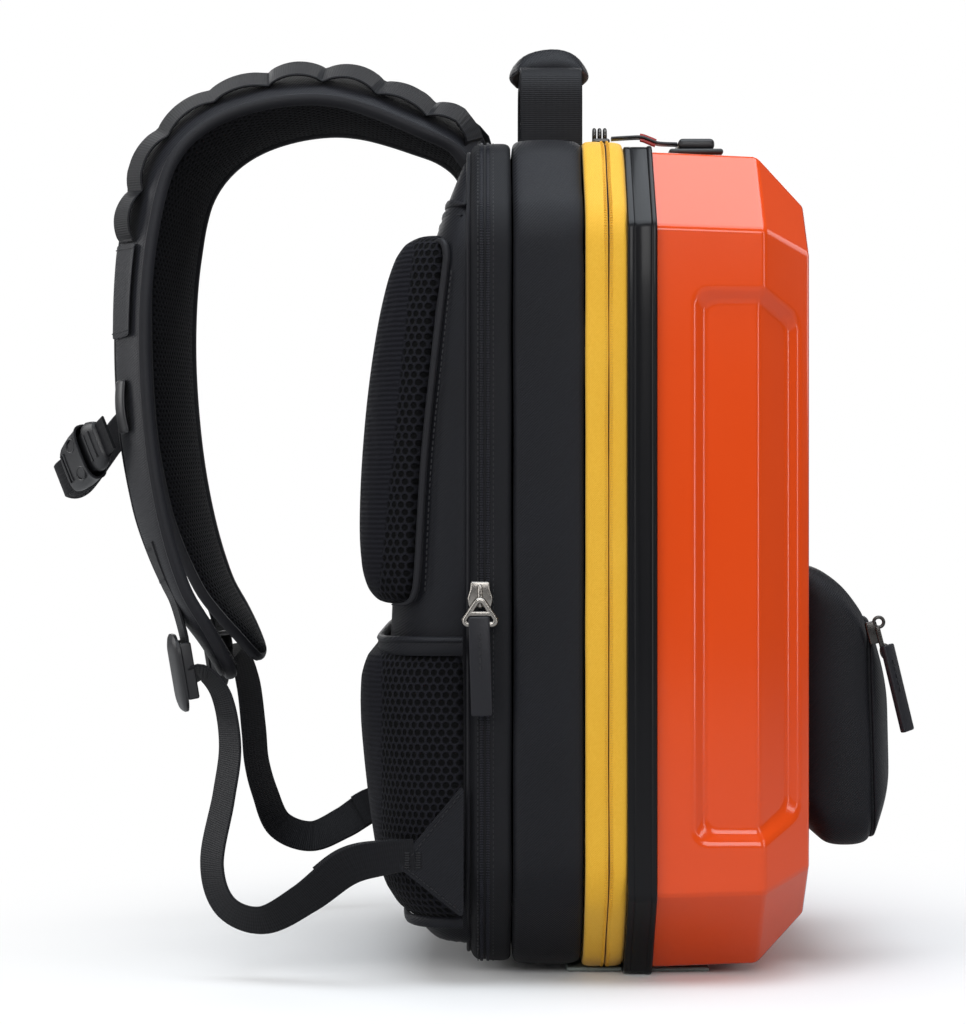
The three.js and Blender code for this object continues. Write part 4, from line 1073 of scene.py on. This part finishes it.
# %% Shoulder straps
STRAP_ROWS = table(
    "x y z lean width lift",
    (-94.5, 73, 454, 5, 50, 1), (-102, 74, 463.5, 15, 50, 6), (-113, 77, 471, 18, 54, 8),
    (-172, 84, 492, 17, 62, 5), (-225, 93, 485, 17, 62, 4), (-258, 103, 461, 17, 62, 2),
    (-270.5, 113, 420, 17, 62), (-275, 122, 364.7, 15, 62), (-272, 127, 306, 15, 62),
    (-264, 130, 256, 13, 62), (-252, 129, 216, 9, 58), (-238, 124, 191, 7, 48),
    (-229, 112, 171, 6, 22),
)
STRAP_STEPS, BINDING_STEPS = 300, 260
FACE = ((-1.0, 0.0), (-0.97, 1.8), (-0.86, 3.6), (-0.55, 5.4), (0.0, 6.2), (0.55, 5.4), (0.86, 3.6),
        (0.97, 1.8), (1.0, 0.0))
straps = {}
for side, sign in SIDES:
    rows = [{**r, "z": r["z"] + (r.get("lift", 0) if side == "right" else 0)} for r in STRAP_ROWS]
    straps[side] = strap_stations(rows, sign, 1, STRAP_STEPS)
    every = straps[side][::5]
    end = every[-1]
    every += [{**end, "frame": end["frame"] @ Matrix.Translation((0, 0, 3.5)), "wide": end["wide"] * 0.72}]
    face = sweep(FACE, every)
    piece = piece_of(face, "strap_face_" + side, strap_cloth, ("strap_" + side,), levels=1)
    lining = sweep([(u * 0.96, -v * 0.95 - 0.1) for u, v in FACE], every)
    piece = piece_of(lining, "strap_lining_" + side, strap_mesh, levels=1)
    down = [s["frame"] @ Vector((-s["wide"], 0, 0)) for s in every]
    back_up = [s["frame"] @ Vector((s["wide"], 0, 0)) for s in reversed(every)]
    tip = every[-1]["frame"] @ Vector((0, 0, 1.5))
    ring = []
    for point, _, along, travel in even_line(down[:-1:2] + [tip] + back_up[1::2], BINDING_STEPS, 4):
        near = min(every, key=lambda s: (s["frame"].translation - point).length)
        across = near["frame"].to_3x3().col[1].cross(along).normalized()
        place = frame_at(across, along.cross(across), along, point)
        ring.append({"frame": place, "wide": 1.0, "travel": travel})
    piece_of(sweep(round_section(2.6, 3.5), ring), "strap_binding_" + side, binding_cloth)

# %% [markdown]
# Down the face of each strap runs a band of webbing, sewn down at short intervals so that it stands
# up in loops for clipping things on. Its line is the strap's line with a wave in its height, and no
# two loops rise alike. A short bar of close stitches holds each dip. Below the loops comes a
# stitched sleeve, then the rail that the chest strap slides on, then the short holder of the ladder
# lock. Places along the strap are shares of its length.

# %% Webbing on the straps
SEAT = 6.0
RISES = (5.0, 4.0, 5.0, 4.6, 3.0, 3.0, 4.4, 5.2)
LOOPS = len(RISES)
LOOP_FROM, LOOP_TO = 0.02, 0.49
TO_EDGE = -2


def loop_height(share):
    """How high the webbing stands over the strap's middle line."""
    rise = RISES[min(int(share * LOOPS), LOOPS - 1)]
    return (SEAT + 0.8) * min(1, share * LOOPS * 2.5) + rise * abs(math.sin(share * LOOPS * math.pi)) ** 0.7


def rail_height(share):
    return SEAT + 1.6 + 1.4 * math.sin(share * math.pi)


def lock_place(sign):
    """Where the ladder lock hangs."""
    return (Matrix.Translation((-257, sign * 106, 168)) @ Matrix.Rotation(-sign * 0.27, 4, "Z")
            @ Matrix.Rotation(-0.17, 4, "Y"))


def bar(place, height, reach, shift=0.0):
    """Places of a bar of close stitches across a strap."""
    return [place @ Matrix.Translation((u * 1.5 + shift, height, 0)) for u in range(-reach, reach + 1)]


for side, sign in SIDES:
    line = straps[side]

    def at(share):
        return line[round(share * STRAP_STEPS)]["frame"]

    loops = sweep(flat_section(16, 1.5), lifted(line, LOOP_FROM, LOOP_TO, 138, loop_height, TO_EDGE))
    piece_of(loops, "daisy_loops_" + side, webbing, ("daisy_webbing_" + side,))
    dips = [LOOP_FROM + (LOOP_TO - LOOP_FROM) * i / LOOPS for i in range(1, LOOPS + 1)]
    tacks = [place for share in dips for place in bar(at(share), SEAT + 1.4, 9, TO_EDGE)]
    piece_of(stitches(tacks, 2.6, 1.1, 0.5), "daisy_tacks_" + side, thread)

    sleeve = sweep(flat_section(20, 1.6), lifted(line, 0.492, 0.6, 24, lambda s: SEAT + 0.9, TO_EDGE))
    piece_of(sleeve, "sleeve_patch_" + side, strap_cloth, ("strap_sleeve_" + side,), levels=1)
    turned = [at(share) @ Matrix.Rotation(QUARTER, 4, "Y") for share in (0.499, 0.593)]
    seams = [t @ Matrix.Translation((0, SEAT + 1.6, u * 3.0 + TO_EDGE)) for t in turned for u in range(-6, 7)]
    piece_of(stitches(seams), "sleeve_stitches_" + side, thread)

    rail = sweep(round_section(10.5, 2.3), lifted(line, 0.648, 0.708, 18, rail_height, 2 * TO_EDGE))
    piece_of(rail, "chest_rail_" + side, acetal, ("sternum_clip_" + side,), levels=1)

    knots = [s["frame"].translation for s in lifted(line, 0.83, 0.9, 3, lambda s: SEAT - 0.9)]
    knots += [lock_place(sign) @ Vector((5.5, 0, 19)), lock_place(sign) @ Vector((4.5, 0, 12))]
    holder = sweep(flat_section(12.5, 1.8), band_stations(knots, 30, across=at(0.88).to_3x3().col[0]))
    piece_of(holder, "lock_holder_" + side, webbing, ("lock_holder_" + side,))
    tacks = [place for share in (0.838, 0.872) for place in bar(at(share), SEAT - 0.1, 7)]
    piece_of(stitches(tacks, 2.6, 1.1, 0.4), "holder_tacks_" + side, thread)

# %% [markdown]
# The lower webbing hangs from the ladder lock in a slack loop and turns over on its way to the side
# of the bag, where it is doubled back and sewn to a cloth wing. Its frames lean more and more along
# the way, which gives the twist. The right one is drawn tighter: the column called short says how
# much of that goes to each knot.

# %% Lower webbing
LOWER_ROWS = table(
    "x y z lean short width",
    (-253, 107, 164, 16, 0, 25), (-244, 110, 168, 24, 0, 25), (-233, 113, 155, 31, -0.5, 25),
    (-228, 117, 128, 33, -0.7, 25), (-231, 122, 100, 33, -0.2, 25), (-237, 128, 64, 35, 1, 25),
    (-229, 135, 41, 40, 1.1, 25), (-208, 141, 34, 44, 1, 25), (-184, 148, 47, 50, 0.6, 25),
    (-161, 157, 65, 66, 0, 23), (-141, 163.5, 71, 84, 0, 19), (-124, 164.2, 73, 90, 0, 17),
)
TIGHTER = {"left": (0, 0), "right": (9, 13)}
UNIT_BAND = [(u / 12.5, v) for u, v in flat_section(12.5, 1.6)]
for side, sign in SIDES:
    back, up = TIGHTER[side]
    rows = [{**r, "x": r["x"] + r["short"] * back, "z": r["z"] + r["short"] * up} for r in LOWER_ROWS]
    line = strap_stations(rows, sign, 0, 150)
    lower = sweep(UNIT_BAND, line)
    doubled = [{**s, "frame": s["frame"] @ Matrix.Translation((0, -1.9, 0))} for s in line[120:146]]
    sweep(UNIT_BAND, doubled, lower)
    piece_of(lower, "lower_webbing_" + side, webbing, ("lower_webbing_" + side,))

# %% [markdown]
# The ladder lock is moulded: an oval plate with a low crown, two cheeks behind it and two bars that
# the webbing runs over.

# %% Ladder locks
LOCK_PLATE = ((0, -16, -22), (0, 16, -22), (0, 16, 22), (0, -16, 22))
for side, sign in SIDES:
    bm = bmesh.new()
    rounded_face(bm, LOCK_PLATE, 11, 6)
    bm.normal_update()
    if bm.faces[:][0].normal.x > 0:
        bmesh.ops.reverse_faces(bm, faces=bm.faces[:])
    back = bmesh.ops.extrude_face_region(bm, geom=bm.faces[:])
    bmesh.ops.translate(bm, verts=verts_in(back), vec=(-1.6, 0, 0))
    crown = [f for f in bm.faces if f.calc_center_median().x < -1.5]
    for thickness, depth in ((1.4, 1.0), (3.0, 0.8), (4.0, 0.4)):
        bmesh.ops.inset_region(bm, faces=crown, thickness=thickness, depth=depth, use_even_offset=True)
    for y in (-13.6, 13.6):
        block((-0.2, y - 1.6, -15), (6.4, y + 1.6, 17), 1.2, bm=bm)
    for z in (12, -5):
        block((2.6, -13, z - 1.9), (6.2, 13, z + 1.9), 1.2, bm=bm)
    bmesh.ops.transform(bm, matrix=lock_place(sign), verts=bm.verts)
    piece_of(bm, "ladder_lock_" + side, acetal, ("ladder_lock_" + side,))

# %% [markdown]
# The wing is a triangle of twill with a folded hem. An inset marks the hem, a second one sinks the
# field inside it, and stitches run along both free edges and across the end of the webbing.

# %% Wings
WING_CORNERS = ((-97.5, 165, 111), (-97.5, 165, 38), (-134, 165.4, 67))
WING_SEAMS = (((-100.5, 164.7, 104), (-129, 164.7, 68)), ((-129, 164.7, 66), (-100.5, 164.7, 43)))
WING_TACK = (-126, 165.1, 70)
for side, sign in SIDES:
    bm = bmesh.new()
    rounded_face(bm, on_side(WING_CORNERS, sign), 4, 4)
    bm.normal_update()
    if bm.faces[:][0].normal.y * sign < 0:
        bmesh.ops.reverse_faces(bm, faces=bm.faces[:])
    bmesh.ops.inset_region(bm, faces=bm.faces[:], thickness=5.5, depth=0, use_even_offset=True)
    field = [f for f in bm.faces if len(f.verts) > 4]
    bmesh.ops.inset_region(bm, faces=field, thickness=0.6, depth=-0.6, use_even_offset=True)
    bmesh.ops.solidify(bm, geom=bm.faces[:], thickness=2.0)
    piece_of(bm, "wing_" + side, twill, ("wing_tab_" + side,))
    runs = [band_stations(on_side(ends, sign), 14, up=(0, sign, 0)) for ends in WING_SEAMS]
    sewn = stitches([s["frame"] for run in runs for s in run])
    tack = frame_at((0, 0, 1), (0, sign, 0), (1, 0, 0), on_side([WING_TACK], sign)[0])
    rows = [tack @ Matrix.Translation((u * 1.3, 0, v)) for u in range(-3, 4) for v in (-2, 4)]
    stitches(rows, 3.4, 0.9, 0.4, sewn)
    piece_of(sewn, "wing_stitches_" + side, thread)

# %% [markdown]
# The chest strap is fastened and hangs forward. Its buckle is two moulded halves in line: the socket
# with an oval mouth at one end and a window on each face, and the plug that reaches into it. Both
# are swept along the strap's line, from sections that change their width and thickness, and both
# have low ribs for the fingers.

# %% Chest buckle
CHEST_START, CHEST_FOLD = Vector((-298, -100, 303)), Vector((-336, -27, 276))
CHEST_MIDDLE, CHEST_ACROSS = Vector((-328, 12, 279)), Vector((0.3, 0, -0.95))
chest_along = (CHEST_FOLD - CHEST_START).normalized()
chest_face = chest_along.cross(CHEST_ACROSS).normalized()
chest_across = chest_face.cross(chest_along)
chest_turn = frame_at(chest_across, chest_face, chest_along)
SOCKET = ((67, 11.5, 3.2), (66.4, 13.2, 4.4), (63, 14.2, 5.0), (56, 15, 5.6), (48, 15.8, 6.0), (40, 16, 6.0),
          (35, 16.4, 6.4), (33, 16.9, 6.9), (32.4, 16.6, 6.6), (32.5, 15.6, 5.6), (36, 15, 4.9),
          (46, 14.4, 4.4))
PLUG = ((12, 9, 2.6), (12.6, 11, 3.4), (16, 12.6, 3.8), (22, 14.4, 4.2), (28, 14.2, 4.0), (31, 12.6, 3.4),
        (40, 12, 3.0))


def chest_at(distance):
    return CHEST_START + chest_along * distance


def chest_frame(distance, across=0, up=0):
    """A frame at a distance along the chest strap, moved across it and up from it."""
    return Matrix.Translation(chest_at(distance)) @ chest_turn @ Matrix.Translation((across, up, 0))


def squarish(value, power):
    return math.copysign(abs(value) ** power, value)


def moulded(rows):
    """A moulded piece along the chest strap; a row gives distance, half width and half thickness."""
    stations = [{"frame": chest_frame(d), "wide": w, "tall": t, "travel": d} for d, w, t in rows]
    angles = [2 * math.pi * i / 32 for i in range(32)]
    return sweep([(squarish(math.cos(a), 0.55), squarish(math.sin(a), 0.8)) for a in angles], stations)


def finger_ribs(bm, distances, up, size):
    """Low ribs across both faces of a moulded piece."""
    for distance in distances:
        for face in (-up, up):
            rib = chest_frame(distance, 0, face) @ Matrix.Diagonal((*size, 1))
            bmesh.ops.create_cube(bm, size=1, matrix=rib)


bm = moulded(SOCKET)
for across in (-8.6, 8.6):
    for up in (-5.6, 5.6):
        spot = chest_frame(43, across, up) @ Matrix.Rotation(QUARTER, 4, "X")
        wire_loop(bm, 4.6, 0.7, spot, (0.8, 1.35, 1))
finger_ribs(bm, (57, 61), 5.4, (17, 1.4, 1.5))
piece_of(bm, "buckle_socket", acetal, ("sternum_socket",))
bm = moulded(PLUG)
finger_ribs(bm, (18, 25), 3.9, (16, 1.2, 1.6))
piece_of(bm, "buckle_plug", acetal, ("sternum_plug",))

landing = straps["right"][round(0.6775 * STRAP_STEPS)]["frame"] @ Vector((0, 18.1, 0))
CHEST_BAND = flat_section(10, 1.6)
short = band_stations([chest_at(0), chest_at(11.7)], 10, across=chest_across)
piece_of(sweep(CHEST_BAND, short), "chest_webbing_left", webbing, ("sternum_webbing_left",))
way = [chest_at(67.3), CHEST_FOLD, CHEST_MIDDLE, landing + Vector((-12, -28, -8)), landing]
far = band_stations(way, 90, across=chest_across)
piece_of(sweep(CHEST_BAND, far), "chest_webbing_right", webbing, ("sternum_webbing_right",))

# %% [markdown]
# The grab handle is an arch of webbing. A padded cloth is folded round its top, and the fold's two
# edges meet underneath. The padding runs out at both ends, where it is also a little narrower.

# %% Handle
HANDLE_X = -47.5
HALF_ARCH = [(HANDLE_X, y, z) for y, z in ((58, 468), (58, 484), (57, 505), (49, 515), (29, 517))]
GRIP_SECTION = ((-22.4, -0.4), (-23.8, 0.4), (-24, 2.0), (-22.4, 6.4), (-18.0, 10.6), (-10, 13.6), (1, 15.0),
                (10, 14.2), (17.6, 11.0), (22.2, 6.0), (24, 2.0), (23.8, 0.4), (22.4, -0.4), (20.8, 0.0),
                (19.6, 0.8), (14, 1.6), (0, 1.7), (-14, 1.6), (-19.6, 0.8), (-20.8, 0.0))
GRIP_FROM, GRIP_TO = 0.335, 0.665
line = band_stations(both_sides(HALF_ARCH), 120, across=(1, 0, 0))
piece_of(sweep(flat_section(18, 2.0), line), "handle_webbing", webbing, ("handle_webbing",))
last = len(line) - 1
over = line[round(GRIP_FROM * last):round(GRIP_TO * last) + 1]
end = len(over) - 1
for i, station in enumerate(over):
    station["tall"] = math.sqrt(min(1, 0.1 + min(i, end - i) / 6))
    station["wide"] = 0.8 + 0.2 * math.sin(math.pi * i / end)
up_sign = 1 if over[len(over) // 2]["frame"].to_3x3().col[1].z > 0 else -1
grip = sweep([(u, v * up_sign) for u, v in GRIP_SECTION], over)
piece = piece_of(grip, "handle_grip", twill, ("handle_grip",), levels=1)

# %% [markdown]
# On top sit the lock and the end of the main zip. A base plate and a body with softened edges make
# the lock. The slider has three wire loops, and a narrow leather pull lies across the rim into the
# lock. Where it bends, a dark red strip under it is painted reflection of the orange shell.

# %% Lock and main zip slider
LOCK_Y, SLIDER_Y = -70, -82
PULL_LINE = ((-14, 470.6), (-4, 471.2), (3, 471.3), (8, 469.6), (13, 467.9), (23.4, 467.4))
bm = block((18, LOCK_Y - 30, 459.6), (48.5, LOCK_Y + 30, 463.0), 1.5)
piece_of(bm, "lock_base", acetal, ("lock_base",))
bm = block((23.5, LOCK_Y - 25, 463.0), (44, LOCK_Y + 25, 469.4), 2.6, 5)
piece_of(bm, "lock_body", acetal, ("lock_body",))

bm = block((-25, SLIDER_Y - 6.5, 467), (-15, SLIDER_Y + 6.5, 470.2), 1.2)
for x in (-23.6, -20.6, -17.6):
    wire_loop(bm, 3.4, 1.1, Matrix.Translation((x, SLIDER_Y, 472.4)) @ Matrix.Rotation(QUARTER, 4, "Y"))
piece_of(bm, "main_slider", gunmetal, ("main_zip_slider",))
pull = band_stations([(x, SLIDER_Y, z) for x, z in PULL_LINE], 60, across=(0, 1, 0))
piece_of(sweep(flat_section(4.5, 1.7), pull), "main_pull", leather, ("main_zip_pull",))
# Painted reflection: a dark red strip under the pull, only where it bends over the orange shell.
kink = [{**s, "frame": s["frame"] @ Matrix.Rotation(0.5, 4, "Z")} for s in pull[26:42]]
piece_of(sweep(flat_section(4.9, 1.9), kink), "main_pull_reflection", pull_reflection)

# %% [markdown]
# The laptop zip has a flared slider with a bridge, a three-cornered ring with a crossbar, and a
# folded leather tab. The tab is a flat strip with rounded corners, and five short slit stitches
# close it below the ring. The pouch has a smaller tab of the same kind, so one function makes both.

# %% Laptop zip slider
SLIDER_OUTLINE = ((-93.8, 220.5), (-83.4, 220.5), (-83.2, 216.5), (-81.6, 211.5), (-82.6, 206.5),
                  (-94.6, 206.5), (-95.6, 211.5), (-94.0, 216.5))
RING_CORNERS = ((-88.6, 212.6), (-98.6, 197.6), (-78.6, 197.6))
SLIT_SHARES = (0.2, 0.28, 0.36, 0.44, 0.52)
SEEN_FACE = frame_at((1, 0, 0), (0, -1, 0), (0, 0, 1))


def raise_faces(bm, height):
    """Gives a flat face a thickness towards the camera."""
    bmesh.ops.recalc_face_normals(bm, faces=bm.faces)
    raised = bmesh.ops.extrude_face_region(bm, geom=bm.faces[:])
    bmesh.ops.translate(bm, verts=verts_in(raised), vec=(0, -height, 0))


def leather_tab(wide, tall, thick, matrix, name, node):
    """A folded strip of leather with rounded corners and slit stitches."""
    bm = bmesh.new()
    half = wide / 2
    rounded_face(bm, ((-half, 0, 0), (half, 0, 0), (half, 0, -tall), (-half, 0, -tall)), wide * 0.13, 4)
    raise_faces(bm, thick)
    crisp = [e for e in bm.edges if len(e.link_faces) == 2 and abs(e.verts[0].co.y - e.verts[1].co.y) < 0.1]
    soften(bm, crisp, 0.8, 3)
    bmesh.ops.transform(bm, matrix=matrix, verts=bm.verts)
    piece_of(bm, name, leather, (node,))
    spots = [matrix @ Matrix.Translation((0, -thick, -tall * share)) @ SEEN_FACE for share in SLIT_SHARES]
    piece_of(stitches(spots, 3.2, 1.3, 0.45), name + "_stitches", thread)


bm = bmesh.new()
bm.faces.new([bm.verts.new((x, -163.6, z)) for x, z in SLIDER_OUTLINE])
raise_faces(bm, 3.6)
soften(bm, bm.edges[:], 1.0, 3)
block((-90.0, -170.6, 206), (-87.2, -166.6, 219), 1.2, bm=bm)
piece_of(bm, "laptop_slider", nickel, ("laptop_slider",))
outline = bmesh.new()
rounded_face(outline, [(x, -172.4, z) for x, z in RING_CORNERS], 4.2, 5)
outline.faces.ensure_lookup_table()
corners = [corner.vert.co.copy() for corner in outline.faces[0].loops]
outline.free()
ring = band_stations(corners + corners[:1], 60, up=(0, -1, 0))
bm = sweep(round_section(1.6, 1.4), ring[:-1], closed=True)
block((-95.0, -173.6, 201.9), (-82.2, -171.4, 204.6), 0.8, bm=bm)
piece_of(bm, "laptop_ring", nickel, ("laptop_ring",))
tab_place = Matrix.Translation((-89.2, -170.4, 201.8)) @ Matrix.Rotation(-0.03, 4, "Y")
leather_tab(11.6, 53.5, 4.2, tab_place, "laptop_tab", "laptop_pull")

# %% [markdown]
# The pouch on the front is a soft box in two parts with a zip between them. A rounded outline is
# extruded from row to row for each part, and the rows of the lid close over its crown. The zip
# hangs a little forward at the bottom, so each row is sheared by its own tilt, in millimetres over
# the zip's height. Both parts are filled like the cushions.

# %% Pouch
POUCH_ROWS = table(
    "x half bottom top tilt",
    (93.3, 95, 84, 228, 0), (98, 98, 80.5, 228, 0), (102.5, 99.6, 74.5, 226.4, 0),
    (106.5, 100.4, 69.8, 224.4, 0.2), (111.5, 101, 68.3, 221, 0.6), (118, 101, 68, 216, 1.4),
    (124, 100, 68.2, 208.5, 2.4), (128.5, 98.6, 70, 202, 3.2), (129.6, 96.5, 72.6, 199, 3.5),
)
LID_ROWS = table(
    "x half bottom top",
    (131.2, 96.5, 72.6, 198), (132.2, 97.4, 72, 198.4), (134.2, 96, 78, 191.5), (137.2, 92, 85.5, 181),
    (140.4, 85, 94, 169.5), (143, 74, 102, 158), (144.8, 60, 110, 148), (145.9, 42, 117.5, 139.5),
    (146.3, 22, 123.5, 132.5),
)
CHAIN_ROWS = [{"x": x, "half": h, "bottom": 168.5 - h, "top": 102.5 + h}
              for x, h in ((129, 95.2), (130, 96), (131, 96), (132, 95.2))]
ZIP_TILT = 3.5
TILT_FROM, TILT_HEIGHT = 200, 130
POUCH_CORNER = 18


def upright(co):
    """Where along the bag a point of the pouch's zip would be if the zip weren't tilted."""
    return co.x - ZIP_TILT * (TILT_FROM - co.z) / TILT_HEIGHT


def soft_box(rows):
    """A loft of rounded outlines across the bag, open at both ends; returns the last loop too."""
    bm = bmesh.new()
    half, low, high = rows[0]["half"], rows[0]["bottom"], rows[0]["top"]
    rounded_face(bm, ((0, -half, low), (0, half, low), (0, half, high), (0, -half, high)), POUCH_CORNER, 6)
    split_long(bm, bm.edges, 12)
    bmesh.ops.delete(bm, geom=bm.faces[:], context="FACES_ONLY")

    def place(row):
        tall = (row["top"] - row["bottom"]) / (high - low)
        slope = row.get("tilt", ZIP_TILT) / TILT_HEIGHT
        lean = Matrix(((1, 0, -slope, slope * TILT_FROM), (0, 1, 0, 0), (0, 0, 1, 0), (0, 0, 0, 1)))
        move = Matrix.Translation((row["x"], 0, row["bottom"] - low * tall))
        return lean @ move @ Matrix.Diagonal((1, row["half"] / half, tall, 1))

    return bm, carry(bm, bm.edges[:], [place(row) for row in rows])


bm, loop = soft_box(POUCH_ROWS)
ruffle(bm, 0.8, 45, 21.0)
pouch = piece_of(bm, "pouch_body", twill, ("pouch_body",), levels=1)
inflate(pouch, lambda co: co.x < 95 or upright(co) > 127.5, 4.0)
bm, loop = soft_box(LID_ROWS)
bmesh.ops.contextual_create(bm, geom=loop)
ruffle(bm, 0.8, 45, 25.0)
lid = piece_of(bm, "pouch_lid", twill, ("pouch_lid",), levels=1)
inflate(lid, lambda co: upright(co) < 132.6 or upright(co) > 145.2, 4.0)
for cover in (pouch, lid):
    wall = cover.modifiers.new("wall", "SOLIDIFY")
    wall.thickness = 1.5 * MM
    wall.offset = -1
bm, loop = soft_box(CHAIN_ROWS)
piece_of(bm, "pouch_zip_chain", zip_tape)

# %% [markdown]
# The pouch's slider is drawn upright at the origin, with a wire loop above and below its tongue, and
# then laid along the slanting zip. Its leather tab hangs from the lower loop and turns outwards.

# %% Pouch slider
FLAT_RING = Matrix.Rotation(QUARTER, 4, "X")
bm = block((-3.4, -2, -6.5), (3.4, 1.4, 6.5), 1.4)
wire_loop(bm, 2.8, 1.0, Matrix.Translation((4.6, -1.2, 5)) @ FLAT_RING)
block((1.6, -3.2, -11), (4.4, -0.6, 3), 0.9, bm=bm)
wire_loop(bm, 3.2, 0.9, Matrix.Translation((4.2, -1.6, -12)) @ FLAT_RING, (0.8, 1.2, 1))
slider_place = Matrix.Translation((132.5, -100.6, 190)) @ Matrix.Rotation(-0.25, 4, "Y")
bmesh.ops.transform(bm, matrix=slider_place, verts=bm.verts)
piece_of(bm, "pouch_slider", gunmetal, ("pouch_slider",))
tab_turn = Matrix.Rotation(-0.236, 4, "Y") @ Matrix.Rotation(0.75, 4, "Z")
leather_tab(9, 50, 3.6, Matrix.Translation((139, -101.4, 183)) @ tab_turn, "pouch_tab", "pouch_pull")

# %% [markdown]
# The bag stands on a low rubber foot that reaches to both sides of the rim.

# %% Foot
for end, low, high in (("front", 7.6, 40), ("rear", -40, -9)):
    bm = block((low, -105, 0), (high, 105, 2.2), 0.9)
    piece_of(bm, "foot_" + end, rubber, ("foot_" + end,))
